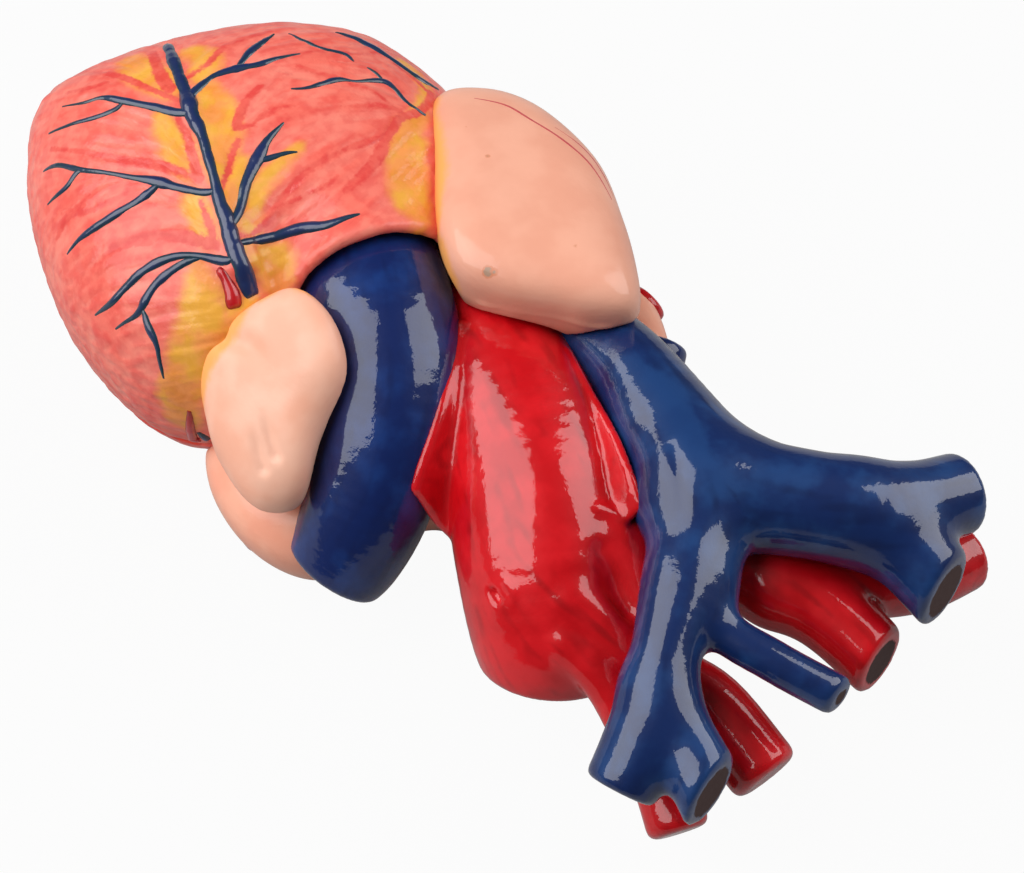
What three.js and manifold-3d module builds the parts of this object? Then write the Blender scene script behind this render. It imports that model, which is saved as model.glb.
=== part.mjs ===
// Life-size anatomical model of the human heart, lying on its back, in millimetres, +Z up.
// +X is the patient's left, +Y points to the great vessels, +Z is the front of the heart.
// The origin is on the resting plane, under the middle of the ventricles.
import * as THREE from "three";
import Module from "manifold-3d";

const wasm = await Module();
wasm.setup();

// Fits and walls
const FIT_GAP = 0.3;
const LIFT_GAP = 0.8;
const ROOT_GAP = 1.2;
const SEAM_GAP = 0.3;
const MUSCLE_WALL = 5.5;
const OUTFLOW_LIP = 3;
const SHADOW_MARGIN = 2.5;
const SEAM_HEIGHT = 22;
const AURICLE_SEAM_HEIGHT = 32;
const REST_HEIGHT = 0;
const BELOW_ALL = -40;
const ABOVE_ALL = 110;
const PLAN_SPAN = 400;

// Fineness of the facets
const VESSEL_SIDES = 10;
const VESSEL_STEPS = 2;
const PILLOW_STEPS = 2;
const PILLOW_RINGS = 4;
const POLE_ANGLE = THREE.MathUtils.degToRad(9);

// Ventricles: plan outline at the widest level and the heights above and below it
const VENTRICLES = {
  outline: [
    [40, -66], [36, -87], [26, -106], [17, -117], [5, -126], [-10, -123], [-24, -116],
    [-37, -107], [-47, -97], [-54, -84], [-55, -69], [-52, -56], [-42, -40], [-26, -30],
    [-12, -31], [2, -41], [14, -44], [27, -43], [37, -52],
  ],
  centre: [-5, -75],
  level: 33,
  top: 31,
  bottom: 36,
  power: 2.3,
};

// Outflow tract of the right ventricle, a sleeve round the root of the pulmonary trunk
const OUTFLOW_TRACT = [
  [-14, -64, 40, 18, 17], [-9, -50, 44, 17.5, 15.5], [-3.4, -38.5, 45.5, 16.8, 14.8],
];

// Great cardiac vein, a raised cord over the front wall
const CARDIAC_VEIN = [
  [-4, -86, 62, 2.1, 2.1], [4, -73, 62.2, 2.3, 2.3], [10, -64, 61, 2.6, 2.6], [15, -56, 58.4, 2.8, 2.8],
];

// Auricles and atria
const RIGHT_AURICLE = {
  outline: [
    [-44, -58], [-54, -53], [-59, -41], [-56, -22], [-47, -6], [-36, 2], [-25, 4],
    [-17, -2], [-11.5, -12], [-11, -22], [-15, -31], [-28, -44],
  ],
  centre: [-33, -25],
  level: 48,
  top: 12,
  bottom: 16.5,
  power: 2.8,
  slope: 0.18,
};
const LEFT_AURICLE = {
  outline: [
    [35, -46], [30, -50], [23, -52], [17, -49], [12, -44], [11.5, -37], [14, -30],
    [20, -26], [29, -23], [37, -21], [42, -25], [43, -31], [40, -41],
  ],
  centre: [28, -36],
  level: 44,
  top: 10,
  bottom: 12,
  power: 2.4,
  slope: -0.7,
};
const LEFT_ATRIUM = {
  outline: [
    [33, -52], [40, -46], [44.5, -36], [46, -26], [43, -17], [35, -13], [22, -12], [13, -6],
    [5, 6], [-8, 6], [-18, -2], [-20, -16], [-10, -30], [2, -40], [16, -46], [26, -48],
  ],
  centre: [12, -22],
  level: 18,
  top: 14,
  bottom: 19.5,
  power: 2.2,
};
const RIGHT_ATRIUM = {
  outline: [
    [-47, -52], [-53, -44], [-55, -33], [-53, -17], [-48, -5], [-42, 4], [-37, 10],
    [-28, 12], [-18, 6], [-14, -4], [-16, -20], [-24, -34], [-34, -44],
  ],
  centre: [-34, -20],
  level: 21,
  top: 10.5,
  bottom: 22.5,
  power: 2.6,
};

// Vessels: centre line x, y, z, then half width and half height
const PULMONARY_TRUNK = [
  [-13, -51.5, 44.5, 12.5, 11.5], [-6, -42, 46, 13.5, 12], [3, -30, 44, 13.5, 13],
  [14, -20, 38, 13, 13], [25, -15, 29, 12.5, 12.5], [33, -14, 21, 11.5, 11],
  [38, -14.5, 16.5, 9.5, 9],
];
const AORTA = [
  [19, -55, 37, 7, 7], [18.6, -49.5, 36, 7.5, 7.5], [10, -40, 30, 9.5, 9.5], [-1, -33, 27, 11.5, 11.5],
  [-9, -26, 29, 13, 12.5], [-14, -18, 33, 14, 13.5], [-7, -6, 34, 16, 16],
  [2, 7, 32, 17.5, 17.5], [12, 19, 28, 18, 18], [21, 28, 21, 16, 16], [25, 31, 14, 12, 12],
];
const WEB_TO_PULMONARY_TRUNK = [
  [-6, -19, 37, 7, 1.2], [6, -10, 35, 8, 1.2], [15, -4, 31, 8, 1.2], [19, -1, 28, 5, 1.2],
];
const WEB_TO_VENA_CAVA = [
  [-15, 5, 37, 6, 1.2], [-11, 14, 36, 6, 1.2], [-6, 22, 34, 6, 1.2], [0, 30, 31, 6, 1.2],
];
const VENA_CAVA = [
  [-26, -6, 37, 9, 9], [-22, 9, 40, 9.5, 10], [-15.5, 24, 41.5, 11.5, 11.5], [-10, 36, 42, 13.5, 11],
];
const RIGHT_BRACHIOCEPHALIC_VEIN = [
  [-10, 36, 42, 12.5, 11], [-18, 50, 42, 10.5, 10.5], [-26.5, 63, 41, 10, 10], [-35.5, 70, 39, 8.5, 8.5],
  [-45, 74.5, 36, 8, 8],
];
const RIGHT_JUGULAR_VEIN = [[-26, 62, 40, 9, 9], [-27, 74, 38, 8, 8], [-26, 84, 35, 7.5, 7.5]];
const LEFT_BRACHIOCEPHALIC_VEIN = [
  [-8, 37, 42, 10, 10], [6, 47, 42, 8.5, 8.5], [17, 55, 40, 7.5, 8.5], [27, 59, 37, 8.5, 9],
  [34, 61, 34, 9, 9], [40, 61.5, 31, 8.5, 8.5],
];
const LEFT_JUGULAR_VEIN = [[22, 58, 38, 8, 8], [30, 67, 36, 7.5, 7.5], [34, 75, 33, 7, 7]];
const THYROID_VEIN = [[1, 49, 41, 5, 5], [7, 58, 40, 4, 4], [7, 69, 38, 4, 4], [3, 81, 35.5, 4, 4]];
const BRACHIOCEPHALIC_ARTERY = [
  [1, 27, 28, 8, 8], [-6, 41, 28, 8, 8], [-11, 54, 27, 8, 8], [-13, 68, 25, 7.5, 7.5],
  [-12, 81, 23, 7, 7],
];
const RIGHT_SUBCLAVIAN_ARTERY = [
  [-10, 57, 26, 7, 7], [-21, 66, 23, 7, 7], [-33, 75, 20, 7, 7], [-45, 79, 17, 7, 7],
];
const LEFT_CAROTID_ARTERY = [
  [14, 31, 29, 7, 7], [13, 46, 26, 6.5, 6.5], [15, 62, 22, 7, 7], [19, 78, 19, 7, 7],
];
const LEFT_SUBCLAVIAN_ARTERY = [
  [20, 38, 24, 7, 7], [26, 53, 20, 6.5, 6.5], [31, 63, 16, 6, 6], [36, 71, 13, 6, 6],
];
const RIGHT_PULMONARY_ARTERY = [[-16, 9, 21, 6, 6], [-29, 10, 24, 6, 6], [-41, 6.5, 25.2, 5.5, 5.5]];
const RIGHT_UPPER_VEIN = [[-20, -8, 16, 5.5, 5.5], [-36, -5, 22, 5.5, 5.5], [-49, -2.5, 25, 5.5, 5.5]];
const RIGHT_LOWER_VEIN = [[-21, -14, 10, 5, 5], [-40, -16, 9, 5, 5], [-58, -18, 9, 5, 5]];
const LEFT_UPPER_VEIN = [[28, -23, 6.5, 5, 5], [35, -22.5, 6.3, 5, 5], [41.5, -22, 6.2, 4.8, 4.8]];
const LEFT_LOWER_VEIN = [[27, -35, 6.5, 5, 5], [33, -37, 6.3, 5, 5], [39.5, -39, 6.2, 4.8, 4.8]];
const LOWER_VENA_CAVA = [[-42, -34, 13, 8.5, 8.5], [-53, -40, 11.5, 8.5, 8.5], [-62, -45, 10.5, 8.5, 8.5]];

// Septum between the ventricles: line at the crest, thickness and lean of the wall
const SEPTUM_CREST = [[-19, -112], [-13, -100], [-5, -88], [3, -76], [10, -65], [16, -55]];
const SEPTUM_THICKNESS = 8;
const SEPTUM_CREST_HEIGHT = 60;
const SEPTUM_LEAN = 0.35;

// Valve plate that closes the ventricles towards the atria
const PLATE_NORMAL = new THREE.Vector3(0.12, 0.993, 0).normalize();
const PLATE_DISTANCE = -56;
const PLATE_THICKNESS = 6;

// Inlet valves: place on the plate, orifice, depth of the skirt and number of leaflets
const TRICUSPID = { x: -25, z: 25, radius: 12, depth: 14, leaflets: 3 };
const MITRAL = { x: 18.5, z: 23, radius: 8.5, depth: 12, leaflets: 2 };
const VALVE_WALL = 1.6;
const LEAFLET_WALL = 1.2;
const LEAFLET_TAPER = 0.68;
const LEAFLET_NOTCH = 0.45;
const AORTIC_OUTLET = { x: 19, z: 38, radius: 5 };

// Outlet valves: three pockets seated in the roots of the two great arteries
const PULMONARY_BORE_RADIUS = 9.5;
const AORTIC_BORE_RADIUS = 5;
const BORE_DEPTH = 9;
const CUSP_WALL = 1.1;

// Papillary muscles: x, y, z and radius from the foot to the tip, and the cords to the valves
const CORD_RADIUS = 0.7;
const CORD_END_GAP = 0.7;
const PAPILLARY_MUSCLES = {
  anterior_papillary_right: {
    line: [[-48, -92, 14, 5.5], [-42, -86, 20, 4.4], [-36, -80, 23, 2.6]],
    valve: TRICUSPID,
    angles: [120, 150, 180],
  },
  posterior_papillary_right: {
    line: [[-39, -92, 2, 5.5], [-37, -86, 9, 4.3], [-33, -80, 14, 2.5]],
    valve: TRICUSPID,
    angles: [210, 240, 270],
  },
  anterior_papillary_left: {
    line: [[23, -94, 4, 5.5], [22, -86, 14, 4.5], [21, -79, 20, 2.5]],
    valve: MITRAL,
    angles: [330, 0, 30],
  },
  posterior_papillary_left: {
    line: [[0, -96, 0, 6], [4, -87, 8, 4.4], [9, -80, 14, 2.5]],
    valve: MITRAL,
    angles: [180, 215, 250],
  },
};

// Locating pins and magnets in the seam, by the outline point that they stand beside
const PIN_PLACES = [2, 9];
const MAGNET_PLACES = [0, 5, 11];
const PIN_DIAMETER = 2.6;
const PIN_SEAT = 4;
const PIN_REACH = 4;
const MAGNET_DIAMETER = 3;
const MAGNET_HEIGHT = 2;

const UP = new THREE.Vector3(0, 0, 1);

// A closed solid from rings of points; the first and last rings are capped unless it loops
function skin(rings, looped = false) {
  const count = rings[0].length;
  const points = rings.flat().map((p) => [p.x, p.y, p.z]);
  const faces = [];
  const bands = looped ? rings.length : rings.length - 1;
  for (let i = 0; i < bands; i += 1) {
    const next = (i + 1) % rings.length;
    for (let j = 0; j < count; j += 1) {
      const k = (j + 1) % count;
      faces.push([i * count + j, i * count + k, next * count + k]);
      faces.push([i * count + j, next * count + k, next * count + j]);
    }
  }
  if (!looped) {
    for (const [ring, flip] of [[0, true], [rings.length - 1, false]]) {
      const middle = new THREE.Vector3();
      rings[ring].forEach((p) => middle.add(p));
      middle.divideScalar(count);
      points.push([middle.x, middle.y, middle.z]);
      for (let j = 0; j < count; j += 1) {
        const a = ring * count + j;
        const b = ring * count + ((j + 1) % count);
        faces.push(flip ? [points.length - 1, b, a] : [points.length - 1, a, b]);
      }
    }
  }
  let volume = 0;
  for (const [a, b, c] of faces) {
    const [p, q, r] = [points[a], points[b], points[c]].map((v) => new THREE.Vector3(...v));
    volume += p.dot(q.cross(r));
  }
  const outward = volume > 0 ? faces : faces.map(([a, b, c]) => [a, c, b]);
  return new wasm.Manifold(new wasm.Mesh({
    numProp: 3,
    vertProperties: new Float32Array(points.flat()),
    triVerts: new Uint32Array(outward.flat()),
  }));
}

// Points along a smooth curve through the given points
function along(points, perSpan, closed = false) {
  const curve = new THREE.CatmullRomCurve3(points, closed, "catmullrom", 0.5);
  const steps = (closed ? points.length : points.length - 1) * perSpan;
  const samples = [];
  for (let i = 0; i < (closed ? steps : steps + 1); i += 1) {
    samples.push(curve.getPoint(i / steps));
  }
  return samples;
}

// Centre points, directions and half sizes along a vessel, grown and lengthened if asked
function frames(stations, { grow = 0, start = 0, end = 0, perSpan = VESSEL_STEPS } = {}) {
  const centres = along(stations.map(([x, y, z]) => new THREE.Vector3(x, y, z)), perSpan);
  const halves = along(stations.map((s) => new THREE.Vector3(s[3], s[4] ?? s[3], 0)), perSpan);
  const last = centres.length - 1;
  const directions = centres.map((_, i) => (
    centres[Math.min(i + 1, last)].clone().sub(centres[Math.max(i - 1, 0)]).normalize()
  ));
  centres[0].addScaledVector(directions[0], -start);
  centres[last].addScaledVector(directions[last], end);
  return centres.map((centre, i) => ({
    centre,
    direction: directions[i],
    width: halves[i].x + grow,
    height: halves[i].y + grow,
  }));
}

// A vessel with an oval section
function vessel(stations, options = {}) {
  const sides = options.sides ?? VESSEL_SIDES;
  return skin(frames(stations, options).map(({ centre, direction, width, height }) => {
    const side = direction.clone().cross(UP).normalize();
    const lift = side.clone().cross(direction);
    return Array.from({ length: sides }, (_, k) => {
      const angle = (2 * Math.PI * k) / sides;
      return centre.clone()
        .addScaledVector(side, width * Math.cos(angle))
        .addScaledVector(lift, height * Math.sin(angle));
    });
  }));
}

// The room straight below a vessel, down past everything, that a lifted piece must leave free
function shadow(stations, options = {}) {
  return skin(frames(stations, options).map(({ centre, direction, width, height }, i, all) => {
    const side = direction.clone().cross(UP).setZ(0).normalize();
    const top = i === 0 || i === all.length - 1 ? centre.z + height : centre.z;
    const left = centre.clone().addScaledVector(side, width).setZ(top);
    const right = centre.clone().addScaledVector(side, -width).setZ(top);
    return [left, right, right.clone().setZ(BELOW_ALL), left.clone().setZ(BELOW_ALL)];
  }));
}

// A vessel's own room and the room below it, with a gap all round
function pathOf(stations, gap) {
  const margin = gap + SHADOW_MARGIN;
  return vessel(stations, { grow: gap, start: gap, end: gap })
    .add(shadow(stations, { grow: gap, start: margin, end: margin }));
}

// Share of the plan outline that a pillow keeps at a height above or below its widest level
function pillowShare(shape, height, grow) {
  const reach = (height > shape.level ? shape.top : shape.bottom) + grow;
  const rise = Math.min(Math.abs(height - shape.level) / reach, 1);
  return (1 - rise ** shape.power) ** (1 / shape.power);
}

// The plan outline moved outwards by a distance, as points round the centre
function planOutline(shape, grow) {
  const flat = along(shape.outline.map(([x, y]) => new THREE.Vector3(x, y, 0)), PILLOW_STEPS, true);
  const count = flat.length;
  return flat.map((p, i) => {
    const travel = flat[(i + 1) % count].clone().sub(flat[(i + count - 1) % count]);
    const outward = travel.cross(UP).normalize();
    const fromCentre = p.clone().sub(new THREE.Vector3(...shape.centre, 0));
    return p.clone().addScaledVector(outward, outward.dot(fromCentre) < 0 ? -grow : grow);
  });
}

// A rounded cushion shape over a plan outline
function pillow(shape, grow = 0) {
  const outline = planOutline(shape, grow);
  const centre = new THREE.Vector3(...shape.centre, 0);
  const rings = [];
  for (let i = 0; i <= 2 * PILLOW_RINGS; i += 1) {
    const angle = (Math.PI / 2 - POLE_ANGLE) * (i / PILLOW_RINGS - 1);
    const share = Math.cos(angle) ** (2 / shape.power);
    const rise = Math.sign(angle) * Math.abs(Math.sin(angle)) ** (2 / shape.power);
    const reach = (rise > 0 ? shape.top : shape.bottom) + grow;
    rings.push(outline.map((p) => {
      const q = centre.clone().lerp(p, share);
      return q.setZ(shape.level + rise * reach + (q.x - centre.x) * (shape.slope ?? 0));
    }));
  }
  return skin(rings);
}

// The straight shaft over the rim of a pillow at the seam
function seamShaft(shape, grow, low, high) {
  const centre = new THREE.Vector3(...shape.centre, 0);
  const share = pillowShare(shape, SEAM_HEIGHT, grow);
  const rim = planOutline(shape, grow).map((p) => centre.clone().lerp(p, share));
  return skin([low, high].map((z) => rim.map((p) => p.clone().setZ(z))));
}

// A closed copy of a three.js geometry, placed by a matrix
function placed(geometry, matrix) {
  const source = geometry.toNonIndexed().applyMatrix4(matrix).getAttribute("position");
  const points = [];
  const faces = [];
  const seen = new Map();
  for (let i = 0; i < source.count; i += 1) {
    const p = [source.getX(i), source.getY(i), source.getZ(i)];
    const key = p.map((v) => Math.round(v * 1e4)).join();
    if (!seen.has(key)) {
      seen.set(key, points.length / 3);
      points.push(...p);
    }
    faces.push(seen.get(key));
  }
  const kept = [];
  for (let i = 0; i < faces.length; i += 3) {
    const [a, b, c] = faces.slice(i, i + 3);
    if (a !== b && b !== c && c !== a) {
      kept.push(a, b, c);
    }
  }
  return new wasm.Manifold(new wasm.Mesh({
    numProp: 3,
    vertProperties: new Float32Array(points),
    triVerts: new Uint32Array(kept),
  }));
}

// Everything between two heights
function layer(low, high) {
  const box = new THREE.BoxGeometry(PLAN_SPAN, PLAN_SPAN, high - low);
  return placed(box, new THREE.Matrix4().makeTranslation(0, 0, (low + high) / 2));
}

// An upright round rod by the middle of its foot
function rod(x, y, foot, diameter, height) {
  const body = new THREE.CylinderGeometry(diameter / 2, diameter / 2, height, 16).rotateX(Math.PI / 2);
  return placed(body, new THREE.Matrix4().makeTranslation(x, y, foot + height / 2));
}

// Placement with the local Y axis along the plate's normal, at a point of the plate
function onPlate(x, z, offset = 0) {
  const y = (PLATE_DISTANCE - PLATE_NORMAL.x * x) / PLATE_NORMAL.y;
  const turn = new THREE.Quaternion().setFromUnitVectors(new THREE.Vector3(0, 1, 0), PLATE_NORMAL);
  const place = new THREE.Vector3(x, y, z).addScaledVector(PLATE_NORMAL, offset);
  return new THREE.Matrix4().compose(place, turn, new THREE.Vector3(1, 1, 1));
}

function plateSlab(grow) {
  const box = new THREE.BoxGeometry(PLAN_SPAN, PLATE_THICKNESS + 2 * grow, PLAN_SPAN);
  return placed(box, onPlate(0, SEAM_HEIGHT));
}

function plateBore({ x, z, radius }, grow = 0) {
  const body = new THREE.CylinderGeometry(radius + grow, radius + grow, 4 * PLATE_THICKNESS, 24);
  return placed(body, onPlate(x, z));
}

// Radius and depth of the free edge of an inlet valve's skirt at an angle round it
function leafletEdge({ radius, depth, leaflets }, angle) {
  const wave = 0.5 + 0.5 * Math.cos(leaflets * angle);
  return { radius: radius * LEAFLET_TAPER, depth: depth * (1 - LEAFLET_NOTCH * wave) };
}

// A point on the free edge, in the model's frame
function edgePoint(valve, angle) {
  const edge = leafletEdge(valve, angle);
  const y = -PLATE_THICKNESS / 2 - edge.depth;
  const local = new THREE.Vector3(edge.radius * Math.cos(angle), y, edge.radius * Math.sin(angle));
  return local.applyMatrix4(onPlate(valve.x, valve.z));
}

// An inlet valve: a ring in the plate's orifice and a skirt of leaflets into the ventricle
function inletValve(valve) {
  const steps = 24;
  const outer = valve.radius - FIT_GAP;
  const place = onPlate(valve.x, valve.z);
  const rings = [];
  for (let i = 0; i < steps; i += 1) {
    const angle = (2 * Math.PI * i) / steps;
    const edge = leafletEdge(valve, angle);
    const profile = [
      [outer, PLATE_THICKNESS / 2],
      [outer, -PLATE_THICKNESS / 2],
      [(outer + edge.radius) / 2 + LEAFLET_WALL / 2, -PLATE_THICKNESS / 2 - edge.depth / 2],
      [edge.radius, -PLATE_THICKNESS / 2 - edge.depth],
      [edge.radius - LEAFLET_WALL, -PLATE_THICKNESS / 2 - edge.depth],
      [(outer + edge.radius) / 2 - LEAFLET_WALL, -PLATE_THICKNESS / 2 - edge.depth / 2],
      [outer - VALVE_WALL, -PLATE_THICKNESS / 2],
      [outer - VALVE_WALL, PLATE_THICKNESS / 2],
    ];
    rings.push(profile.map(([r, y]) => (
      new THREE.Vector3(r * Math.cos(angle), y, r * Math.sin(angle)).applyMatrix4(place)
    )));
  }
  return skin(rings, true);
}

// Start point and direction of a vessel, as a placement with local Y into the vessel
function rootPlace(stations) {
  const [first] = frames(stations);
  const turn = new THREE.Quaternion().setFromUnitVectors(new THREE.Vector3(0, 1, 0), first.direction);
  return new THREE.Matrix4().compose(first.centre, turn, new THREE.Vector3(1, 1, 1));
}

function rootBore(stations, radius) {
  const depth = 2 * BORE_DEPTH;
  return placed(new THREE.CylinderGeometry(radius, radius, depth, 24), rootPlace(stations));
}

// An outlet valve: three pockets round the bore that hang from its wall and meet in the middle
function outletValve(stations, boreRadius) {
  const steps = 24;
  const outer = boreRadius - FIT_GAP;
  const height = BORE_DEPTH - 2 * FIT_GAP;
  const place = rootPlace(stations);
  const rings = [];
  for (let i = 0; i < steps; i += 1) {
    const angle = (2 * Math.PI * i) / steps;
    const pocket = Math.abs(Math.sin(1.5 * angle));
    const inner = outer * (0.86 - 0.62 * pocket);
    const profile = [
      [outer, FIT_GAP],
      [outer, height],
      [outer - CUSP_WALL, height],
      [outer - CUSP_WALL, height * 0.55],
      [inner, height * (0.9 - 0.2 * pocket)],
      [inner - 0.06 * outer, height * (0.85 - 0.25 * pocket) - 0.5 * CUSP_WALL],
      [outer - 2 * CUSP_WALL, FIT_GAP],
    ];
    rings.push(profile.map(([r, y]) => (
      new THREE.Vector3(r * Math.cos(angle), y, r * Math.sin(angle)).applyMatrix4(place)
    )));
  }
  return skin(rings, true);
}

// The leaning wall between the ventricles, before it is trimmed to the room inside
function septumWall() {
  const crest = along(SEPTUM_CREST.map(([x, y]) => new THREE.Vector3(x, y, SEPTUM_CREST_HEIGHT)), VESSEL_STEPS);
  const last = crest.length - 1;
  return skin(crest.map((p, i) => {
    const travel = crest[Math.min(i + 1, last)].clone().sub(crest[Math.max(i - 1, 0)]);
    const side = travel.cross(UP).normalize().multiplyScalar(SEPTUM_THICKNESS / 2);
    const corner = (sign, z) => new THREE.Vector3(
      p.x + sign * side.x + SEPTUM_LEAN * (z - SEPTUM_CREST_HEIGHT),
      p.y + sign * side.y,
      z,
    );
    return [corner(1, ABOVE_ALL), corner(-1, ABOVE_ALL), corner(-1, BELOW_ALL), corner(1, BELOW_ALL)];
  }));
}

// A papillary muscle with the cords from its tip to the edge of its valve
function papillaryMuscle({ line, valve, angles }) {
  let solid = vessel(line, { sides: 8 });
  const tip = new THREE.Vector3(...line.at(-1).slice(0, 3));
  const neck = new THREE.Vector3(...line.at(-2).slice(0, 3)).lerp(tip, 0.8);
  for (const degrees of angles) {
    const target = edgePoint(valve, THREE.MathUtils.degToRad(degrees));
    const towards = target.clone().sub(tip).normalize();
    target.addScaledVector(towards, -CORD_END_GAP - CORD_RADIUS);
    const stations = [neck, tip, target].map((p) => [p.x, p.y, p.z, CORD_RADIUS]);
    solid = solid.add(vessel(stations, { sides: 5, perSpan: 1 }));
  }
  return solid;
}

// Middle of the seam's rim beside a point of the outline
function rimCentre(index) {
  const outer = planOutline(VENTRICLES, 0)[index * PILLOW_STEPS];
  const inner = planOutline(VENTRICLES, -MUSCLE_WALL)[index * PILLOW_STEPS];
  const centre = new THREE.Vector3(...VENTRICLES.centre, 0);
  const outerRim = centre.clone().lerp(outer, pillowShare(VENTRICLES, SEAM_HEIGHT, 0));
  const innerRim = centre.clone().lerp(inner, pillowShare(VENTRICLES, SEAM_HEIGHT, -MUSCLE_WALL));
  return outerRim.lerp(innerRim, 0.5);
}

// The largest closed body of a solid, as a geometry
function geometryOf(solid) {
  const { vertProperties, triVerts, numProp } = solid.getMesh();
  const parent = Array.from({ length: vertProperties.length / numProp }, (_, i) => i);
  const find = (i) => {
    let root = i;
    while (parent[root] !== root) {
      root = parent[root];
    }
    parent[i] = root;
    return root;
  };
  for (let i = 0; i < triVerts.length; i += 3) {
    parent[find(triVerts[i])] = find(triVerts[i + 1]);
    parent[find(triVerts[i + 1])] = find(triVerts[i + 2]);
  }
  const bodies = new Map();
  for (let i = 0; i < triVerts.length; i += 3) {
    const [p, q, r] = [0, 1, 2].map((k) => new THREE.Vector3().fromArray(vertProperties, triVerts[i + k] * 3));
    const body = bodies.get(find(triVerts[i])) ?? { volume: 0, faces: [] };
    body.volume += p.dot(q.cross(r));
    body.faces.push(triVerts[i], triVerts[i + 1], triVerts[i + 2]);
    bodies.set(find(triVerts[i]), body);
  }
  const largest = [...bodies.values()].sort((a, b) => b.volume - a.volume)[0];
  const geometry = new THREE.BufferGeometry();
  geometry.setAttribute("position", new THREE.BufferAttribute(vertProperties, 3));
  geometry.setIndex(largest.faces);
  geometry.computeVertexNormals();
  return geometry;
}

// Materials
const paint = (color, roughness = 0.25) => new THREE.MeshStandardMaterial({ color, roughness, metalness: 0 });
const MUSCLE = paint(0xf07062);
const CHAMBER = paint(0xe99a86);
const ATRIUM = paint(0xf2b09a);
const ARTERY = paint(0xc8141e);
const VEIN = paint(0x16386f);
const PULMONARY = paint(0x0f2a5e);
const VALVE = paint(0xf1dcc0, 0.35);
const STEEL = new THREE.MeshStandardMaterial({ color: 0xc9ccd0, roughness: 0.3, metalness: 1 });

// Rooms of the vessels, used where neighbours give way
const room = (stations, grow = FIT_GAP) => vessel(stations, { grow, start: grow, end: grow });
const trunkRoom = room(PULMONARY_TRUNK);
const aortaRoom = room(AORTA);
const venaCavaRoom = room(VENA_CAVA)
  .add(room(RIGHT_BRACHIOCEPHALIC_VEIN))
  .add(room(RIGHT_JUGULAR_VEIN));
const leftVeinRoom = room(LEFT_BRACHIOCEPHALIC_VEIN).add(room(LEFT_JUGULAR_VEIN));
const thyroidVeinRoom = room(THYROID_VEIN);
const veinRoom = venaCavaRoom.add(leftVeinRoom).add(thyroidVeinRoom);

// Great vessels
const pulmonaryTrunk = vessel(PULMONARY_TRUNK).subtract(rootBore(PULMONARY_TRUNK, PULMONARY_BORE_RADIUS));
const aortaBody = vessel(AORTA)
  .add(vessel(WEB_TO_PULMONARY_TRUNK, { sides: 8 }))
  .add(vessel(WEB_TO_VENA_CAVA, { sides: 8 }));
const aorta = aortaBody
  .subtract(rootBore(AORTA, AORTIC_BORE_RADIUS))
  .subtract(plateSlab(FIT_GAP))
  .subtract(trunkRoom)
  .subtract(venaCavaRoom.subtract(aortaRoom));
const venaCava = vessel(VENA_CAVA)
  .add(vessel(RIGHT_BRACHIOCEPHALIC_VEIN))
  .add(vessel(RIGHT_JUGULAR_VEIN))
  .subtract(aortaRoom);
const leftVein = vessel(LEFT_BRACHIOCEPHALIC_VEIN)
  .add(vessel(LEFT_JUGULAR_VEIN))
  .subtract(venaCavaRoom)
  .subtract(aortaRoom);
const thyroidVein = vessel(THYROID_VEIN).subtract(leftVeinRoom).subtract(venaCavaRoom);
const webRoom = vessel(WEB_TO_PULMONARY_TRUNK, { grow: FIT_GAP, sides: 8 })
  .add(vessel(WEB_TO_VENA_CAVA, { grow: FIT_GAP, sides: 8 }));
const brachiocephalicArtery = vessel(BRACHIOCEPHALIC_ARTERY)
  .add(vessel(RIGHT_SUBCLAVIAN_ARTERY))
  .subtract(aortaRoom)
  .subtract(webRoom)
  .subtract(veinRoom);
const brachiocephalicRoom = room(BRACHIOCEPHALIC_ARTERY).add(room(RIGHT_SUBCLAVIAN_ARTERY));
const leftCarotid = vessel(LEFT_CAROTID_ARTERY)
  .subtract(aortaRoom)
  .subtract(veinRoom)
  .subtract(brachiocephalicRoom);
const leftSubclavian = vessel(LEFT_SUBCLAVIAN_ARTERY)
  .subtract(aortaRoom)
  .subtract(veinRoom)
  .subtract(room(LEFT_CAROTID_ARTERY));

// Ventricles: a hollow pillow in two halves that part at the seam
const rearBand = layer(REST_HEIGHT, SEAM_HEIGHT - SEAM_GAP / 2);
const frontBand = layer(SEAM_HEIGHT + SEAM_GAP / 2, ABOVE_ALL);
const outflowEnd = { start: 0, end: 0 };
const heartOutside = pillow(VENTRICLES).add(vessel(OUTFLOW_TRACT, outflowEnd));
const heartInside = pillow(VENTRICLES, -MUSCLE_WALL)
  .add(vessel(OUTFLOW_TRACT, { grow: -OUTFLOW_LIP, end: 2 * OUTFLOW_LIP }));
const heartRoom = pillow(VENTRICLES, FIT_GAP).add(room(OUTFLOW_TRACT));
const rearInside = pillow(VENTRICLES, -MUSCLE_WALL - FIT_GAP).intersect(layer(BELOW_ALL, SEAM_HEIGHT));
const frontInside = pillow(VENTRICLES, -MUSCLE_WALL - LIFT_GAP)
  .intersect(seamShaft(VENTRICLES, -MUSCLE_WALL - LIFT_GAP, SEAM_HEIGHT, ABOVE_ALL));
const chamberRoom = rearInside.add(frontInside);

let frontWall = heartOutside
  .add(vessel(CARDIAC_VEIN, { sides: 8 }))
  .subtract(heartInside)
  .intersect(frontBand)
  .subtract(pathOf(PULMONARY_TRUNK, ROOT_GAP))
  .subtract(pathOf(AORTA, LIFT_GAP));
let rearShell = pillow(VENTRICLES)
  .subtract(pillow(VENTRICLES, -MUSCLE_WALL))
  .intersect(rearBand)
  .subtract(aortaRoom)
  .subtract(trunkRoom);

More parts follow.
